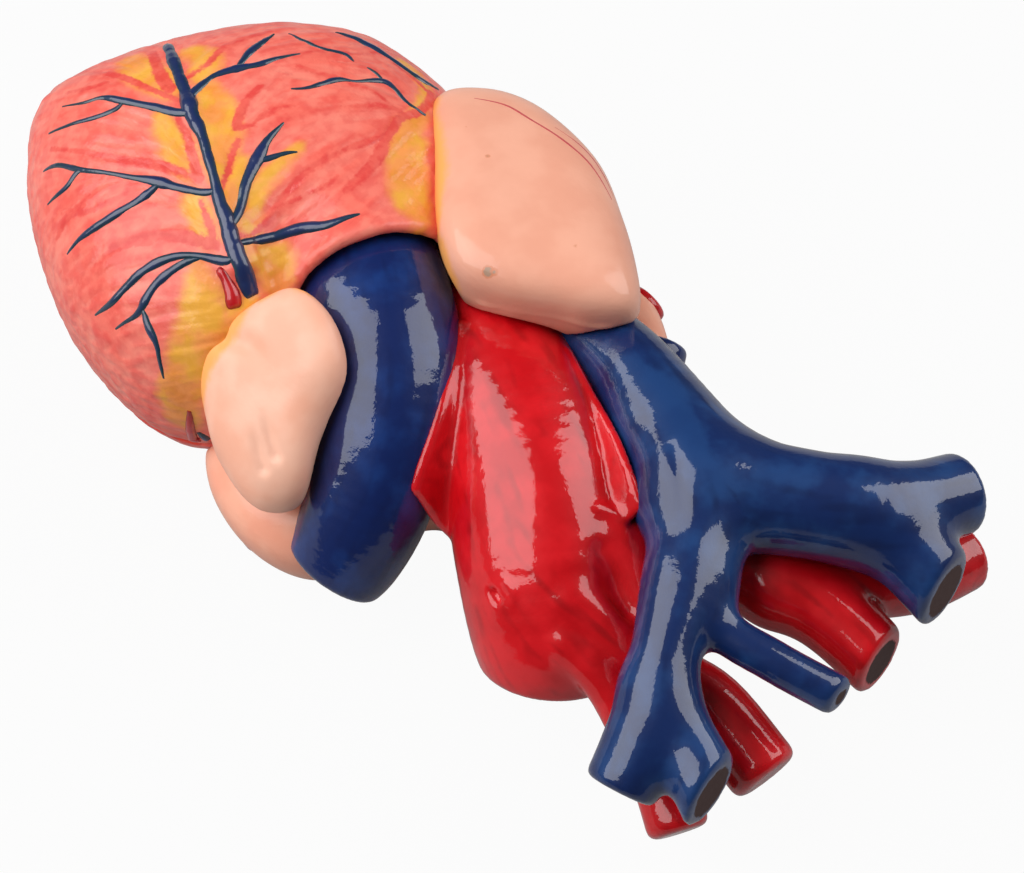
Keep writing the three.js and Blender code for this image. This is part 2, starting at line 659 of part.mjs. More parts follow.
// Pins and magnets in the rim
const fittings = [];
PIN_PLACES.forEach((place, i) => {
  const { x, y } = rimCentre(place);
  const foot = SEAM_HEIGHT - PIN_SEAT;
  const hole = rod(x, y, foot - FIT_GAP, PIN_DIAMETER + 2 * FIT_GAP, PIN_SEAT + PIN_REACH + 2 * FIT_GAP);
  frontWall = frontWall.subtract(hole);
  rearShell = rearShell.subtract(hole);
  fittings.push([`locating_pin_${i + 1}`, rod(x, y, foot, PIN_DIAMETER, PIN_SEAT + PIN_REACH)]);
});
MAGNET_PLACES.forEach((place, i) => {
  const { x, y } = rimCentre(place);
  const face = SEAM_GAP / 2;
  const recess = MAGNET_DIAMETER + 2 * FIT_GAP;
  const depth = MAGNET_HEIGHT + FIT_GAP;
  frontWall = frontWall.subtract(rod(x, y, SEAM_HEIGHT, recess, face + depth));
  rearShell = rearShell.subtract(rod(x, y, SEAM_HEIGHT - face - depth, recess, face + depth));
  fittings.push([
    `rear_magnet_${i + 1}`,
    rod(x, y, SEAM_HEIGHT - face - MAGNET_HEIGHT, MAGNET_DIAMETER, MAGNET_HEIGHT),
  ]);
  fittings.push([`front_magnet_${i + 1}`, rod(x, y, SEAM_HEIGHT + face, MAGNET_DIAMETER, MAGNET_HEIGHT)]);
});

// Septum, valve plate, valves and papillary muscles inside the ventricles
const valvePlate = plateSlab(0)
  .intersect(chamberRoom)
  .subtract(plateBore(TRICUSPID))
  .subtract(plateBore(MITRAL))
  .subtract(plateBore(AORTIC_OUTLET))
  .subtract(trunkRoom)
  .subtract(vessel(PULMONARY_TRUNK, {
    grow: PULMONARY_BORE_RADIUS - PULMONARY_TRUNK[0][3],
    start: 4 * PLATE_THICKNESS,
  }));
const septum = septumWall().intersect(chamberRoom)
  .subtract(plateSlab(FIT_GAP))
  .subtract(inletValve(TRICUSPID))
  .subtract(layer(SEAM_HEIGHT, ABOVE_ALL).intersect(placed(
    new THREE.BoxGeometry(PLAN_SPAN, PLAN_SPAN, PLAN_SPAN),
    onPlate(0, SEAM_HEIGHT, PLAN_SPAN / 2 - PLATE_THICKNESS),
  )));
const muscles = Object.entries(PAPILLARY_MUSCLES).map(([name, muscle]) => [
  name,
  papillaryMuscle(muscle).intersect(chamberRoom),
]);

// Atria, auricles and the stubs of the smaller vessels
const stubRoom = room(RIGHT_PULMONARY_ARTERY)
  .add(room(RIGHT_UPPER_VEIN))
  .add(room(RIGHT_LOWER_VEIN))
  .add(room(LEFT_UPPER_VEIN))
  .add(room(LEFT_LOWER_VEIN))
  .add(room(LOWER_VENA_CAVA));
const greatRoom = trunkRoom.add(aortaRoom).add(venaCavaRoom).add(webRoom);
const leftAtrium = pillow(LEFT_ATRIUM)
  .intersect(layer(REST_HEIGHT, AURICLE_SEAM_HEIGHT))
  .subtract(heartRoom)
  .subtract(greatRoom)
  .subtract(stubRoom);
const rightAtrium = pillow(RIGHT_ATRIUM)
  .intersect(layer(REST_HEIGHT, AURICLE_SEAM_HEIGHT - FIT_GAP))
  .subtract(heartRoom)
  .subtract(greatRoom)
  .subtract(stubRoom)
  .subtract(pillow(LEFT_ATRIUM, FIT_GAP));
const greatPath = pathOf(PULMONARY_TRUNK, LIFT_GAP).add(pathOf(AORTA, LIFT_GAP)).add(pathOf(VENA_CAVA, LIFT_GAP));
const atriaRoom = pillow(LEFT_ATRIUM, LIFT_GAP)
  .add(pillow(RIGHT_ATRIUM, LIFT_GAP))
  .add(room(RIGHT_UPPER_VEIN, LIFT_GAP))
  .add(room(RIGHT_PULMONARY_ARTERY, LIFT_GAP));
const rightAuricle = pillow(RIGHT_AURICLE)
  .intersect(layer(AURICLE_SEAM_HEIGHT, ABOVE_ALL))
  .subtract(heartRoom)
  .subtract(greatPath)
  .subtract(atriaRoom);
const leftAuricle = pillow(LEFT_AURICLE)
  .subtract(heartRoom)
  .subtract(greatPath)
  .subtract(atriaRoom);
const stub = (stations) => vessel(stations).subtract(heartRoom).subtract(aortaRoom).subtract(venaCavaRoom);
const outsideAtrium = (stations, shape) => stub(stations).subtract(trunkRoom).subtract(webRoom);

const heart = new THREE.Group();
heart.position.set(-VENTRICLES.centre[0], -VENTRICLES.centre[1], -REST_HEIGHT);
function add(name, solid, material) {
  const mesh = new THREE.Mesh(geometryOf(solid), material);
  mesh.name = name;
  heart.add(mesh);
}

add("rear_shell", rearShell, MUSCLE);
add("septum", septum, CHAMBER);
add("valve_plate", valvePlate, CHAMBER);
add("tricuspid_valve", inletValve(TRICUSPID), VALVE);
add("mitral_valve", inletValve(MITRAL), VALVE);
add("pulmonary_valve", outletValve(PULMONARY_TRUNK, PULMONARY_BORE_RADIUS), VALVE);
add("aortic_valve", outletValve(AORTA, AORTIC_BORE_RADIUS), VALVE);
muscles.forEach(([name, solid]) => add(name, solid, CHAMBER));
add("left_atrium", leftAtrium, ATRIUM);
add("right_atrium", rightAtrium, ATRIUM);
add("aorta", aorta, ARTERY);
add("brachiocephalic_artery", brachiocephalicArtery, ARTERY);
add("left_carotid_artery", leftCarotid, ARTERY);
add("left_subclavian_artery", leftSubclavian, ARTERY);
add("pulmonary_trunk", pulmonaryTrunk, PULMONARY);
add("right_pulmonary_artery", outsideAtrium(RIGHT_PULMONARY_ARTERY), PULMONARY);
add("superior_vena_cava", venaCava, VEIN);
add("left_brachiocephalic_vein", leftVein, VEIN);
add("thyroid_vein", thyroidVein, VEIN);
add("inferior_vena_cava", outsideAtrium(LOWER_VENA_CAVA), VEIN);
add("right_upper_pulmonary_vein", outsideAtrium(RIGHT_UPPER_VEIN).subtract(room(RIGHT_LOWER_VEIN)), ARTERY);
add("right_lower_pulmonary_vein", outsideAtrium(RIGHT_LOWER_VEIN), ARTERY);
add("left_upper_pulmonary_vein", outsideAtrium(LEFT_UPPER_VEIN), ARTERY);
add("left_lower_pulmonary_vein", outsideAtrium(LEFT_LOWER_VEIN), ARTERY);
add("front_wall", frontWall, MUSCLE);
add("right_auricle", rightAuricle, ATRIUM);
add("left_auricle", leftAuricle, ATRIUM);
fittings.forEach(([name, solid]) => add(name, solid, STEEL));

export default heart;
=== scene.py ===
# Hand-painted anatomical model of the heart, lying on its back on a pale floor.
# Shapes are drawn in millimetres in the heart's own drawing frame and placed in metres.

import math

import bpy
import numpy as np
from mathutils import Matrix, Vector


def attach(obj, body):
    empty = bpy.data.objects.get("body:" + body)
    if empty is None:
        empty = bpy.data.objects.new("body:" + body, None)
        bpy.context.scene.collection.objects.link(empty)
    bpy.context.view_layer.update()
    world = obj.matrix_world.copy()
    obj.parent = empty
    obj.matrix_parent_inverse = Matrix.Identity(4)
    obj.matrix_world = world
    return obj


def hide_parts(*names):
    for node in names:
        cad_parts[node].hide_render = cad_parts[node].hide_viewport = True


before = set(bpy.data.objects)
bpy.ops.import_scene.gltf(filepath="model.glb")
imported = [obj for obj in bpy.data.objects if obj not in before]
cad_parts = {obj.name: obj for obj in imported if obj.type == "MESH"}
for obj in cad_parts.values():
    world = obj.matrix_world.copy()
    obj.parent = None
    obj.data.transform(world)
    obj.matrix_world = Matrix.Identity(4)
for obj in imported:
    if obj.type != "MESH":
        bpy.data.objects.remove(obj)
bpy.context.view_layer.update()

MM = 0.001
DRAWING_PLACE = np.array([5.0, 75.0, 0.0])

# Fineness of the moulded forms: the distance between samples
WALL_GRAIN = 0.56
REAR_WALL_GRAIN = 0.7
AURICLE_GRAIN = 0.56
ATRIA_GRAIN = 0.75
VESSEL_GRAIN = 0.62
STUB_GRAIN = 0.6
# A distance that counts as nowhere near
FAR = 50.0

# Fits of the lift-off front
LIFT_GAP = 0.8
ROOT_GAP = 1.2
SEAM_HEIGHT = 22
SEAM_GAP = 0.3
AURICLE_SEAM_HEIGHT = 32
MUSCLE_WALL = 5.5
OUTFLOW_LIP = 3
# How far the room for the lift runs on beyond a vessel's ends
LIFT_ROOM = 2.5
# Room between the lowest points and the floor
RESTING_GAP = 0.02
# How deep the auricles are let into the muscle
AURICLE_SET_IN = 2

# Space that the moulded walls take up, from their lowest to their highest corner
VENTRICLES_LOW = (-60, -130)
VENTRICLES_HIGH = (46, -26)
FRONT_TOP = 70
AURICLE_TOP = 66

# Roundings: flares where one form runs into another, rims where one is cut
OUTFLOW_FLARE = 5
RIDGE_FLARE = 3
SHOULDER_FLARE = 3
GREAT_BRANCH_FLARE = 5
LEFT_VEIN_FLARE = 6
BRANCH_FLARE = 4
ARCH_BRANCH_FLARE = 1.6
TRUNK_WEB_FLARE = 1.5
CAVA_WEB_FLARE = 0.8
SAWN_RIM = 1.6
OUTFLOW_RIM = 1.8
ARCH_BRANCH_RIM = 2.4
CUT_RIM = 0.9
SEAM_RIM = 0.5
AURICLE_FOOT_RIM = 1.5
SLEEVE_RIM = 1.6
CHAMBER_RIM = 1
NEIGHBOUR_RIM = 1
FOOT_RIM = 0.8
REAR_FOOT_RIM = 1

# Finish: depth of the brush marks in the muscle, the share of faces kept on its hidden lining,
# and how strongly the lacquer mirrors
BRUSH_RELIEF = 0.14
LINING_SHARE = 0.66
LACQUER_IOR = 1.45

# Light: the panels' brightness, the room's, and how white the floor looks to the eye and in reflections
SOFTBOX_RADIANCE = 3.9
ROOM_LIGHT = 0.06
FLOOR_GLOW_SEEN = 0.95
FLOOR_GLOW_MIRRORED = 0.06
FLOOR_TONE = 0.4
FLOOR_REACH = 3.0

WHITE = (1, 1, 1, 1)

# Softboxes as the camera sees them: degrees to the right and up, then width and height in metres
SOFTBOXES = {
    "softbox_left": (-46, 22, 1.33, 1.25),
    "softbox_right": (63, 31, 0.97, 0.83),
}
SOFTBOX_DISTANCE = 1.2

# Camera: target and distance in millimetres of the model's frame, angles in degrees
CAMERA_TARGET = (5, 75, 35)
CAMERA_AZIMUTH = 130
CAMERA_ELEVATION = 58
CAMERA_DISTANCE = 470
CAMERA_LENS = 85
CAMERA_SENSOR = 36
CAMERA_NEAREST = 10

# Ventricles, the outflow tract over them, and the ridge that carries the great coronary vein
VENTRICLES = {
    "outline": [
        (40, -66), (36, -87), (26, -106), (17, -117), (5, -126), (-10, -123), (-24, -116),
        (-37, -107), (-47, -97), (-54, -84), (-55, -69), (-52, -56), (-42, -40), (-26, -30),
        (-12, -31), (2, -41), (14, -44), (27, -43), (37, -52),
    ],
    "centre": (-5, -75),
    "level": 33,
    "top": 31,
    "bottom": 36,
    "power": 2.3,
    "slope": 0,
}
OUTFLOW_TRACT = [(-14, -64, 40, 18, 17), (-9, -50, 44, 17.5, 15.5), (-3.6, -38.9, 46.1, 18.2, 15.3)]
VEIN_RIDGE = [
    (-4, -86, 62, 1.6, 1.6), (4, -73, 62.2, 1.8, 1.8), (10, -64, 61, 2.1, 2.1),
    (15, -56, 58.4, 2.5, 2.5),
]

# Auricles and atria
RIGHT_AURICLE = {
    "outline": [
        (-44, -58), (-54, -53), (-58, -41), (-54.5, -23), (-45, -8.5), (-36, 2), (-30.5, 6.5),
        (-26, 6.5), (-21, 1.5), (-18, -3.6), (-12.8, -12.5), (-11, -22), (-15, -31), (-28, -44),
    ],
    "centre": (-33, -25),
    "level": 48,
    "top": 12,
    "bottom": 16.5,
    "power": 3.5,
    "under_power": 2.1,
    "slope": 0.18,
}
LEFT_AURICLE = {
    "outline": [
        (36.1, -47.3), (32, -52.3), (28.5, -54), (23, -52.3), (17, -49), (12, -44), (11.5, -37),
        (14, -30), (19, -24.9), (28.5, -23.6), (37, -21), (42, -25), (43, -31), (40, -41),
    ],
    "centre": (28, -36),
    "level": 44,
    "top": 10,
    "bottom": 12,
    "power": 2.6,
    "under_power": 2.2,
    "slope": -0.7,
}
LEFT_ATRIUM = {
    "outline": [
        (33, -52), (39.5, -46), (43.5, -36), (44, -26), (41, -18), (34, -13), (22, -12), (13, -6),
        (5, 6), (-8, 6), (-18, -2), (-20, -16), (-10, -30), (2, -40), (16, -46), (26, -48),
    ],
    "centre": (12, -22),
    "level": 18,
    "top": 14,
    "bottom": 19.5,
    "power": 2.2,
    "slope": 0,
}
RIGHT_ATRIUM = {
    "outline": [
        (-47, -52), (-53, -44), (-55, -33), (-53, -17), (-48, -5), (-42, 4), (-37, 10),
        (-28, 12), (-18, 6), (-14, -4), (-16, -20), (-24, -34), (-34, -44),
    ],
    "centre": (-34, -20),
    "level": 21,
    "top": 10.5,
    "bottom": 22.5,
    "power": 2.6,
    "slope": 0,
}

# Vessels: centre line x, y, z, then half width and half height
SAWN_ACROSS = (0, 0.99, 0.12)
PULMONARY_TRUNK = [
    (-12.5, -52, 43.8, 13.4, 10.8), (-5.5, -42, 45, 15.2, 11.6), (3, -30, 44, 15.1, 12.9),
    (14, -20, 38, 13.8, 13), (25, -15, 29, 12.6, 12.5), (33, -14, 21, 11.5, 11),
    (38, -14.5, 16.5, 9.5, 9),
]
AORTA = [
    (19, -55, 37, 7, 7), (18.6, -49.5, 36, 7.5, 7.5), (10, -40, 30, 9.5, 9.5),
    (-1, -33, 27, 11.5, 11.5), (-9, -26, 29, 13, 12.5), (-14, -18, 33, 14, 13.5),
    (-7, -6, 34, 16, 16), (2, 7, 32, 17.5, 17.5), (12, 19, 28, 18, 18), (21, 28, 21, 16, 16),
    (25, 31, 14, 12, 12),
]
# The flat right shoulder of the arch, down to the first branch
ARCH_SHOULDER = [
    (2, 22, 33, 7, 8), (5.5, 30, 33.5, 7.5, 8), (9.5, 37.5, 30.5, 7, 7), (12.5, 45, 27, 6, 6),
]
# Thin webs beside the aorta: lines from the free edge down into the aorta, and the half thickness
WEB_TO_PULMONARY_TRUNK = [
    [
        (-7.5, -19.5, 46.2), (-0.6, -16, 46.3), (6.5, -11.5, 46.4), (13, -8.5, 44.7), (19, -6.4, 41.8),
        (22.4, -5.3, 39),
    ],
    [
        (-6, -18, 44.5), (3, -11.6, 44.8), (10.4, -7.4, 42), (16.6, -4.4, 38.2), (19.8, -2.6, 34.6),
        (21.5, -0.8, 31.5),
    ],
    [
        (-7, -16, 42), (2, -9.5, 43), (8, -5, 40.5), (13.5, -1.5, 36.5), (17.6, 0.6, 32.2),
        (20.6, 3, 28.6),
    ],
]
WEB_TO_VENA_CAVA = [
    [
        (-17.2, -0.5, 44.2), (-12.4, 9, 44.8), (-7.2, 19, 46.2), (-2.4, 26.5, 46.8), (-0.6, 29.4, 46.2),
        (0.8, 32, 45),
    ],
    [(-13, 4, 41.6), (-8, 12, 41.8), (-3, 19, 42), (0.6, 24, 41.8), (2.6, 27.2, 41.4), (5, 30.2, 40)],
]
WEB_THICKNESS = 0.9
VENA_CAVA = [
    (-27, -5, 37, 8.6, 9), (-23.6, 10, 40, 8.8, 10), (-17.2, 24.6, 41.5, 11, 10.6),
    (-12.5, 38, 42, 12, 10.2),
]
RIGHT_BRACHIOCEPHALIC_VEIN = [
    (-10, 36, 42, 12.5, 11), (-18, 50, 42, 10.5, 10.5), (-26.5, 63, 41, 10, 10),
    (-35.5, 70, 39, 8.5, 8.5), (-45, 74.5, 36, 8, 8),
]
RIGHT_JUGULAR_VEIN = [(-26, 62, 40, 9, 9), (-27, 74, 38, 8, 8), (-26, 84, 35, 7.5, 7.5)]
LEFT_BRACHIOCEPHALIC_VEIN = [
    (-10, 39, 42, 8.2, 8.2), (6, 47, 42, 8.3, 8.3), (19, 52.8, 40, 6.6, 7.4), (28.4, 57.3, 37, 7, 7.6),
    (36, 60, 33.8, 7.2, 7.5), (43, 61.3, 30.3, 6.8, 6.8),
]
LEFT_JUGULAR_VEIN = [(25.5, 56, 37.5, 6.4, 6.4), (30, 66, 36, 6, 6), (34, 75, 34, 6.8, 6.8)]
THYROID_VEIN = [
    (1, 49, 41, 5, 5), (9, 57.5, 40, 4, 4), (8, 69, 38.5, 3.9, 3.9), (4.8, 82, 35.7, 3.9, 3.9),
]
BRACHIOCEPHALIC_ARTERY = [
    (1, 27, 28, 8, 8), (-6, 41, 28, 8, 8), (-11, 54, 27, 8, 8), (-13, 68, 25, 7.5, 7.5),
    (-12, 81, 23, 7, 7),
]
RIGHT_SUBCLAVIAN_ARTERY = [
    (-10, 57, 26, 7, 7), (-21, 66, 23, 7, 7), (-33, 75, 20, 7, 7), (-45, 79, 17, 7, 7),
]
LEFT_CAROTID_ARTERY = [
    (20.4, 31.2, 35.6, 4.6, 4.6), (19.6, 37, 32.9, 4.9, 4.9), (19.4, 44, 29.4, 5.1, 5.1),
    (17, 52, 24.5, 6, 6), (15.6, 62, 22, 6.8, 6.8), (19, 78, 19, 7, 7),
]
LEFT_SUBCLAVIAN_ARTERY = [
    (25.7, 35, 30.7, 4.8, 4.8), (25.3, 42.8, 27.6, 5, 5), (26.5, 49.4, 24, 5.1, 5.1),
    (30.6, 62, 16.5, 5.8, 5.8), (36, 71, 13, 6, 6),
]
RIGHT_PULMONARY_ARTERY = [(-16, 9, 21, 6, 6), (-29, 10, 24, 6, 6), (-40.6, 6.8, 28.2, 4.7, 4.7)]
RIGHT_UPPER_VEIN = [(-20, -8, 16, 5.5, 5.5), (-36, -5, 22, 5.2, 5.2), (-48.6, -3.2, 25.6, 4.4, 4.4)]
RIGHT_LOWER_VEIN = [(-21, -14, 10, 5, 5), (-40, -16, 9, 5, 5), (-58, -18, 9, 5, 5)]
LEFT_UPPER_VEIN = [(28, -23, 6.5, 5, 5), (33, -22.5, 6.3, 4.6, 4.6), (36.4, -22.3, 6.2, 3.8, 3.8)]
LEFT_LOWER_VEIN = [(27, -35, 6.5, 5, 5), (33, -37, 6.3, 5, 5), (39.5, -39, 6.2, 4.8, 4.8)]
# The soft shoulder of the right atrium between the auricle and the great vein
ATRIUM_SHOULDER = [
    (-44, -9, 24, 5, 5), (-42, -2, 26.5, 4.5, 4.5), (-37.5, 4.5, 27, 4.2, 4.5),
    (-31.5, 9, 26.5, 4.2, 4.5),
]
LOWER_VENA_CAVA = [(-42, -34, 13, 8.5, 8.5), (-53, -40, 11.5, 8.5, 8.5), (-62, -45, 10.5, 8.5, 8.5)]

# Raised coronary vessels on the front wall: points on the surface, then half width
FRONT_VEINS = {
    "main": [
        (-17, -106.5, 55.5, 1.2), (-12.5, -99.5, 60, 1.4), (-9, -94, 62, 1.2), (-6, -89, 63, 1.6),
        (-2.5, -84, 64, 1.4), (0, -79, 64.5, 1), (3, -74.5, 64.5, 0.9), (6, -70, 64.5, 0.9),
        (9, -66, 64, 1.2), (11, -62, 63, 1.4), (13.5, -58.5, 62, 1.4), (15, -55.5, 60.5, 1.5),
        (16, -53, 58, 1.6), (17, -51, 55.5, 1.5), (17.5, -50, 54, 1),
    ],
    "upper_left": [
        (-3, -84.5, 64, 1), (-1.5, -88, 63, 1), (-0.5, -91.5, 62.5, 1), (1, -96, 62, 0.8),
        (2, -100, 60.5, 0.8), (3, -104, 59, 0.6), (5.5, -107.5, 57.5, 0.4), (7.5, -112.5, 54, 0.2),
    ],
    "upper_left_fork": [
        (1.7, -98.9, 60.9, 0.3), (4.5, -99.5, 60.5, 0.7), (7, -101.5, 59, 0.6), (10, -106, 56.5, 0.5),
        (13, -111.5, 51.5, 0.2),
    ],
    "middle_left": [
        (7.2, -67.6, 64.2, 0.6), (8.8, -69, 63.5, 0.8), (10, -72, 62.5, 0.8), (11.5, -76, 62, 1),
        (12.5, -79.5, 62, 1.1), (14.5, -85, 60.5, 0.6), (16, -91, 58.5, 0.5), (17.5, -96.5, 56.5, 0.6),
        (18, -103, 53, 0.6), (19.5, -106.5, 49.5, 0.2),
    ],
    "middle_left_fork": [
        (12.2, -78.5, 62, 0.4), (16.5, -79.5, 61, 1), (20.5, -81.5, 58.5, 0.8), (25, -84.5, 56, 0.8),
        (28, -87, 52.5, 0.6), (30.5, -88.5, 48.5, 0.2),
    ],
    "middle_left_tip": [
        (17.2, -95.5, 56.9, 0.2), (18.4, -97, 56, 0.7), (20.5, -97, 54, 0.6), (22.5, -98.5, 52, 0.5),
        (24.5, -100.5, 48.5, 0.2),
    ],
    "lower_left": [
        (15, -55.8, 59.5, 0.5), (17, -58, 59.5, 1), (19, -62, 59.5, 0.7), (21.5, -65.5, 59, 0.8),
        (24.5, -68, 58, 1), (27.5, -70, 56, 0.9), (31, -71.5, 53, 0.9), (34, -73, 50, 0.7),
        (36, -76, 45.5, 0.2),
    ],
    "lower_left_fork": [
        (19, -61.4, 59.4, 0.3), (21.5, -63.4, 59, 0.7), (25, -65, 57.5, 0.9), (28, -66, 55.5, 0.8),
        (31, -66, 53.5, 0.9), (33.5, -66.5, 51.5, 0.6), (36, -70, 46.5, 0.2),
    ],
    "lower_left_tip": [
        (31.7, -66.1, 53, 0.3), (33.5, -63, 51, 0.9), (34.5, -60, 49, 0.6), (36, -58, 45.5, 0.4),
        (37, -56.5, 43, 0.2),
    ],
    "upper_right": [
        (-5.5, -88.5, 63, 1.2), (-10, -89, 62.5, 1), (-13.5, -89, 62.5, 0.8), (-18, -87, 62, 1.2),
        (-21.5, -84.5, 62, 0.9), (-25.5, -83, 61.5, 0.6), (-30, -80.5, 60.5, 0.2),
    ],
    "upper_right_fork": [
        (-18, -87, 62, 0.4), (-24, -89, 61, 1), (-28.5, -89.5, 59, 0.7), (-32.5, -90.5, 58, 0.2),
    ],
    "middle_right": [
        (12.4, -60.1, 62.5, 0.5), (7, -62.5, 62, 1), (3, -65, 62.5, 1), (-0.5, -66.5, 63, 1.2),
        (-3.5, -67.5, 63.5, 1.3), (-8, -69, 63.5, 0.8), (-13.5, -69.5, 63.5, 0.2),
    ],
    "middle_right_fork": [
        (-2.7, -67.2, 63.4, 0.4), (-5.5, -65.5, 63.5, 0.8), (-8, -64, 63.5, 0.5),
        (-10, -62.5, 63, 0.15),
    ],
    "lower_right": [
        (13.9, -57.7, 61.6, 0.5), (9.5, -56.5, 59.5, 0.8), (5.5, -55, 58, 1), (1, -52.5, 57.5, 1.2),
        (-2, -48.5, 58.8, 1.1), (-5, -46.3, 59.6, 0.8), (-8, -44.5, 60, 0.2),
    ],
    "outflow": [
        (-34, -88.5, 57.5, 0.2), (-34, -83, 59, 0.5), (-34.5, -79.5, 59, 0.5), (-37, -75, 58.5, 0.6),
        (-36, -72, 58.5, 0.2),
    ],
    "conus": [
        (-20.5, -75, 63, 0.2), (-23.5, -72.5, 62.5, 0.5), (-29.5, -70.5, 61, 0.8), (-32, -68, 60, 0.4),
        (-37, -65, 58, 0.9), (-37.5, -62, 57.5, 0.6), (-36.5, -58, 56.5, 0.5), (-37.5, -54, 54.5, 0.3),
    ],
    "conus_fork": [(-37, -70, 58, 0.2), (-37.5, -67.5, 58, 0.4), (-37.1, -64.2, 57.9, 0.2)],
    "left_foot": [(36, -51.2, 29, 0.3), (35.4, -50.4, 27, 0.9), (34.8, -49.7, 25.4, 1)],
    "edge": [
        (-42, -83.5, 54.5, 0.3), (-43.5, -79.5, 54, 0.9), (-44.5, -74.5, 53.5, 1),
        (-45, -68.5, 53, 0.7), (-45.5, -63, 52, 0.9), (-48, -60, 48.5, 0.4),
    ],
}
FRONT_ARTERIES = {
    "stub": [
        (18.9, -58.2, 59.2, 0.4), (18.8, -56.9, 59, 1), (19.4, -54.6, 58, 1.2),
        (20.2, -52.6, 56.6, 1.5), (21.2, -51.4, 55.6, 1.6), (21.9, -50.4, 54.8, 0.7),
    ],
    "left_end": [
        (35.8, -52, 36.5, 0.4), (36.2, -52, 33, 0.8), (36.2, -52.4, 29, 1), (35.6, -52.8, 25.4, 1.1),
    ],
    "left_foot": [(37.6, -53.5, 25.2, 0.6), (36.4, -52.6, 25, 1), (34.6, -51.2, 25.2, 0.8)],
}
# Thin raised lines on the right auricle
LOBE_LINES = {
    "long": [
        (-46.5, -49.5, 55.5, 0.15), (-49.4, -43.3, 55.3, 0.45), (-49.6, -36.9, 55.6, 0.45),
        (-50, -29.4, 55.4, 0.45), (-49.1, -21, 55, 0.4), (-45.7, -11.9, 54.8, 0.15),
    ],
    "short": [
        (-51.6, -33, 54, 0.12), (-52.2, -25, 53.6, 0.3), (-50, -17, 53.6, 0.3),
        (-47.6, -12.6, 53.6, 0.12),
    ],
}

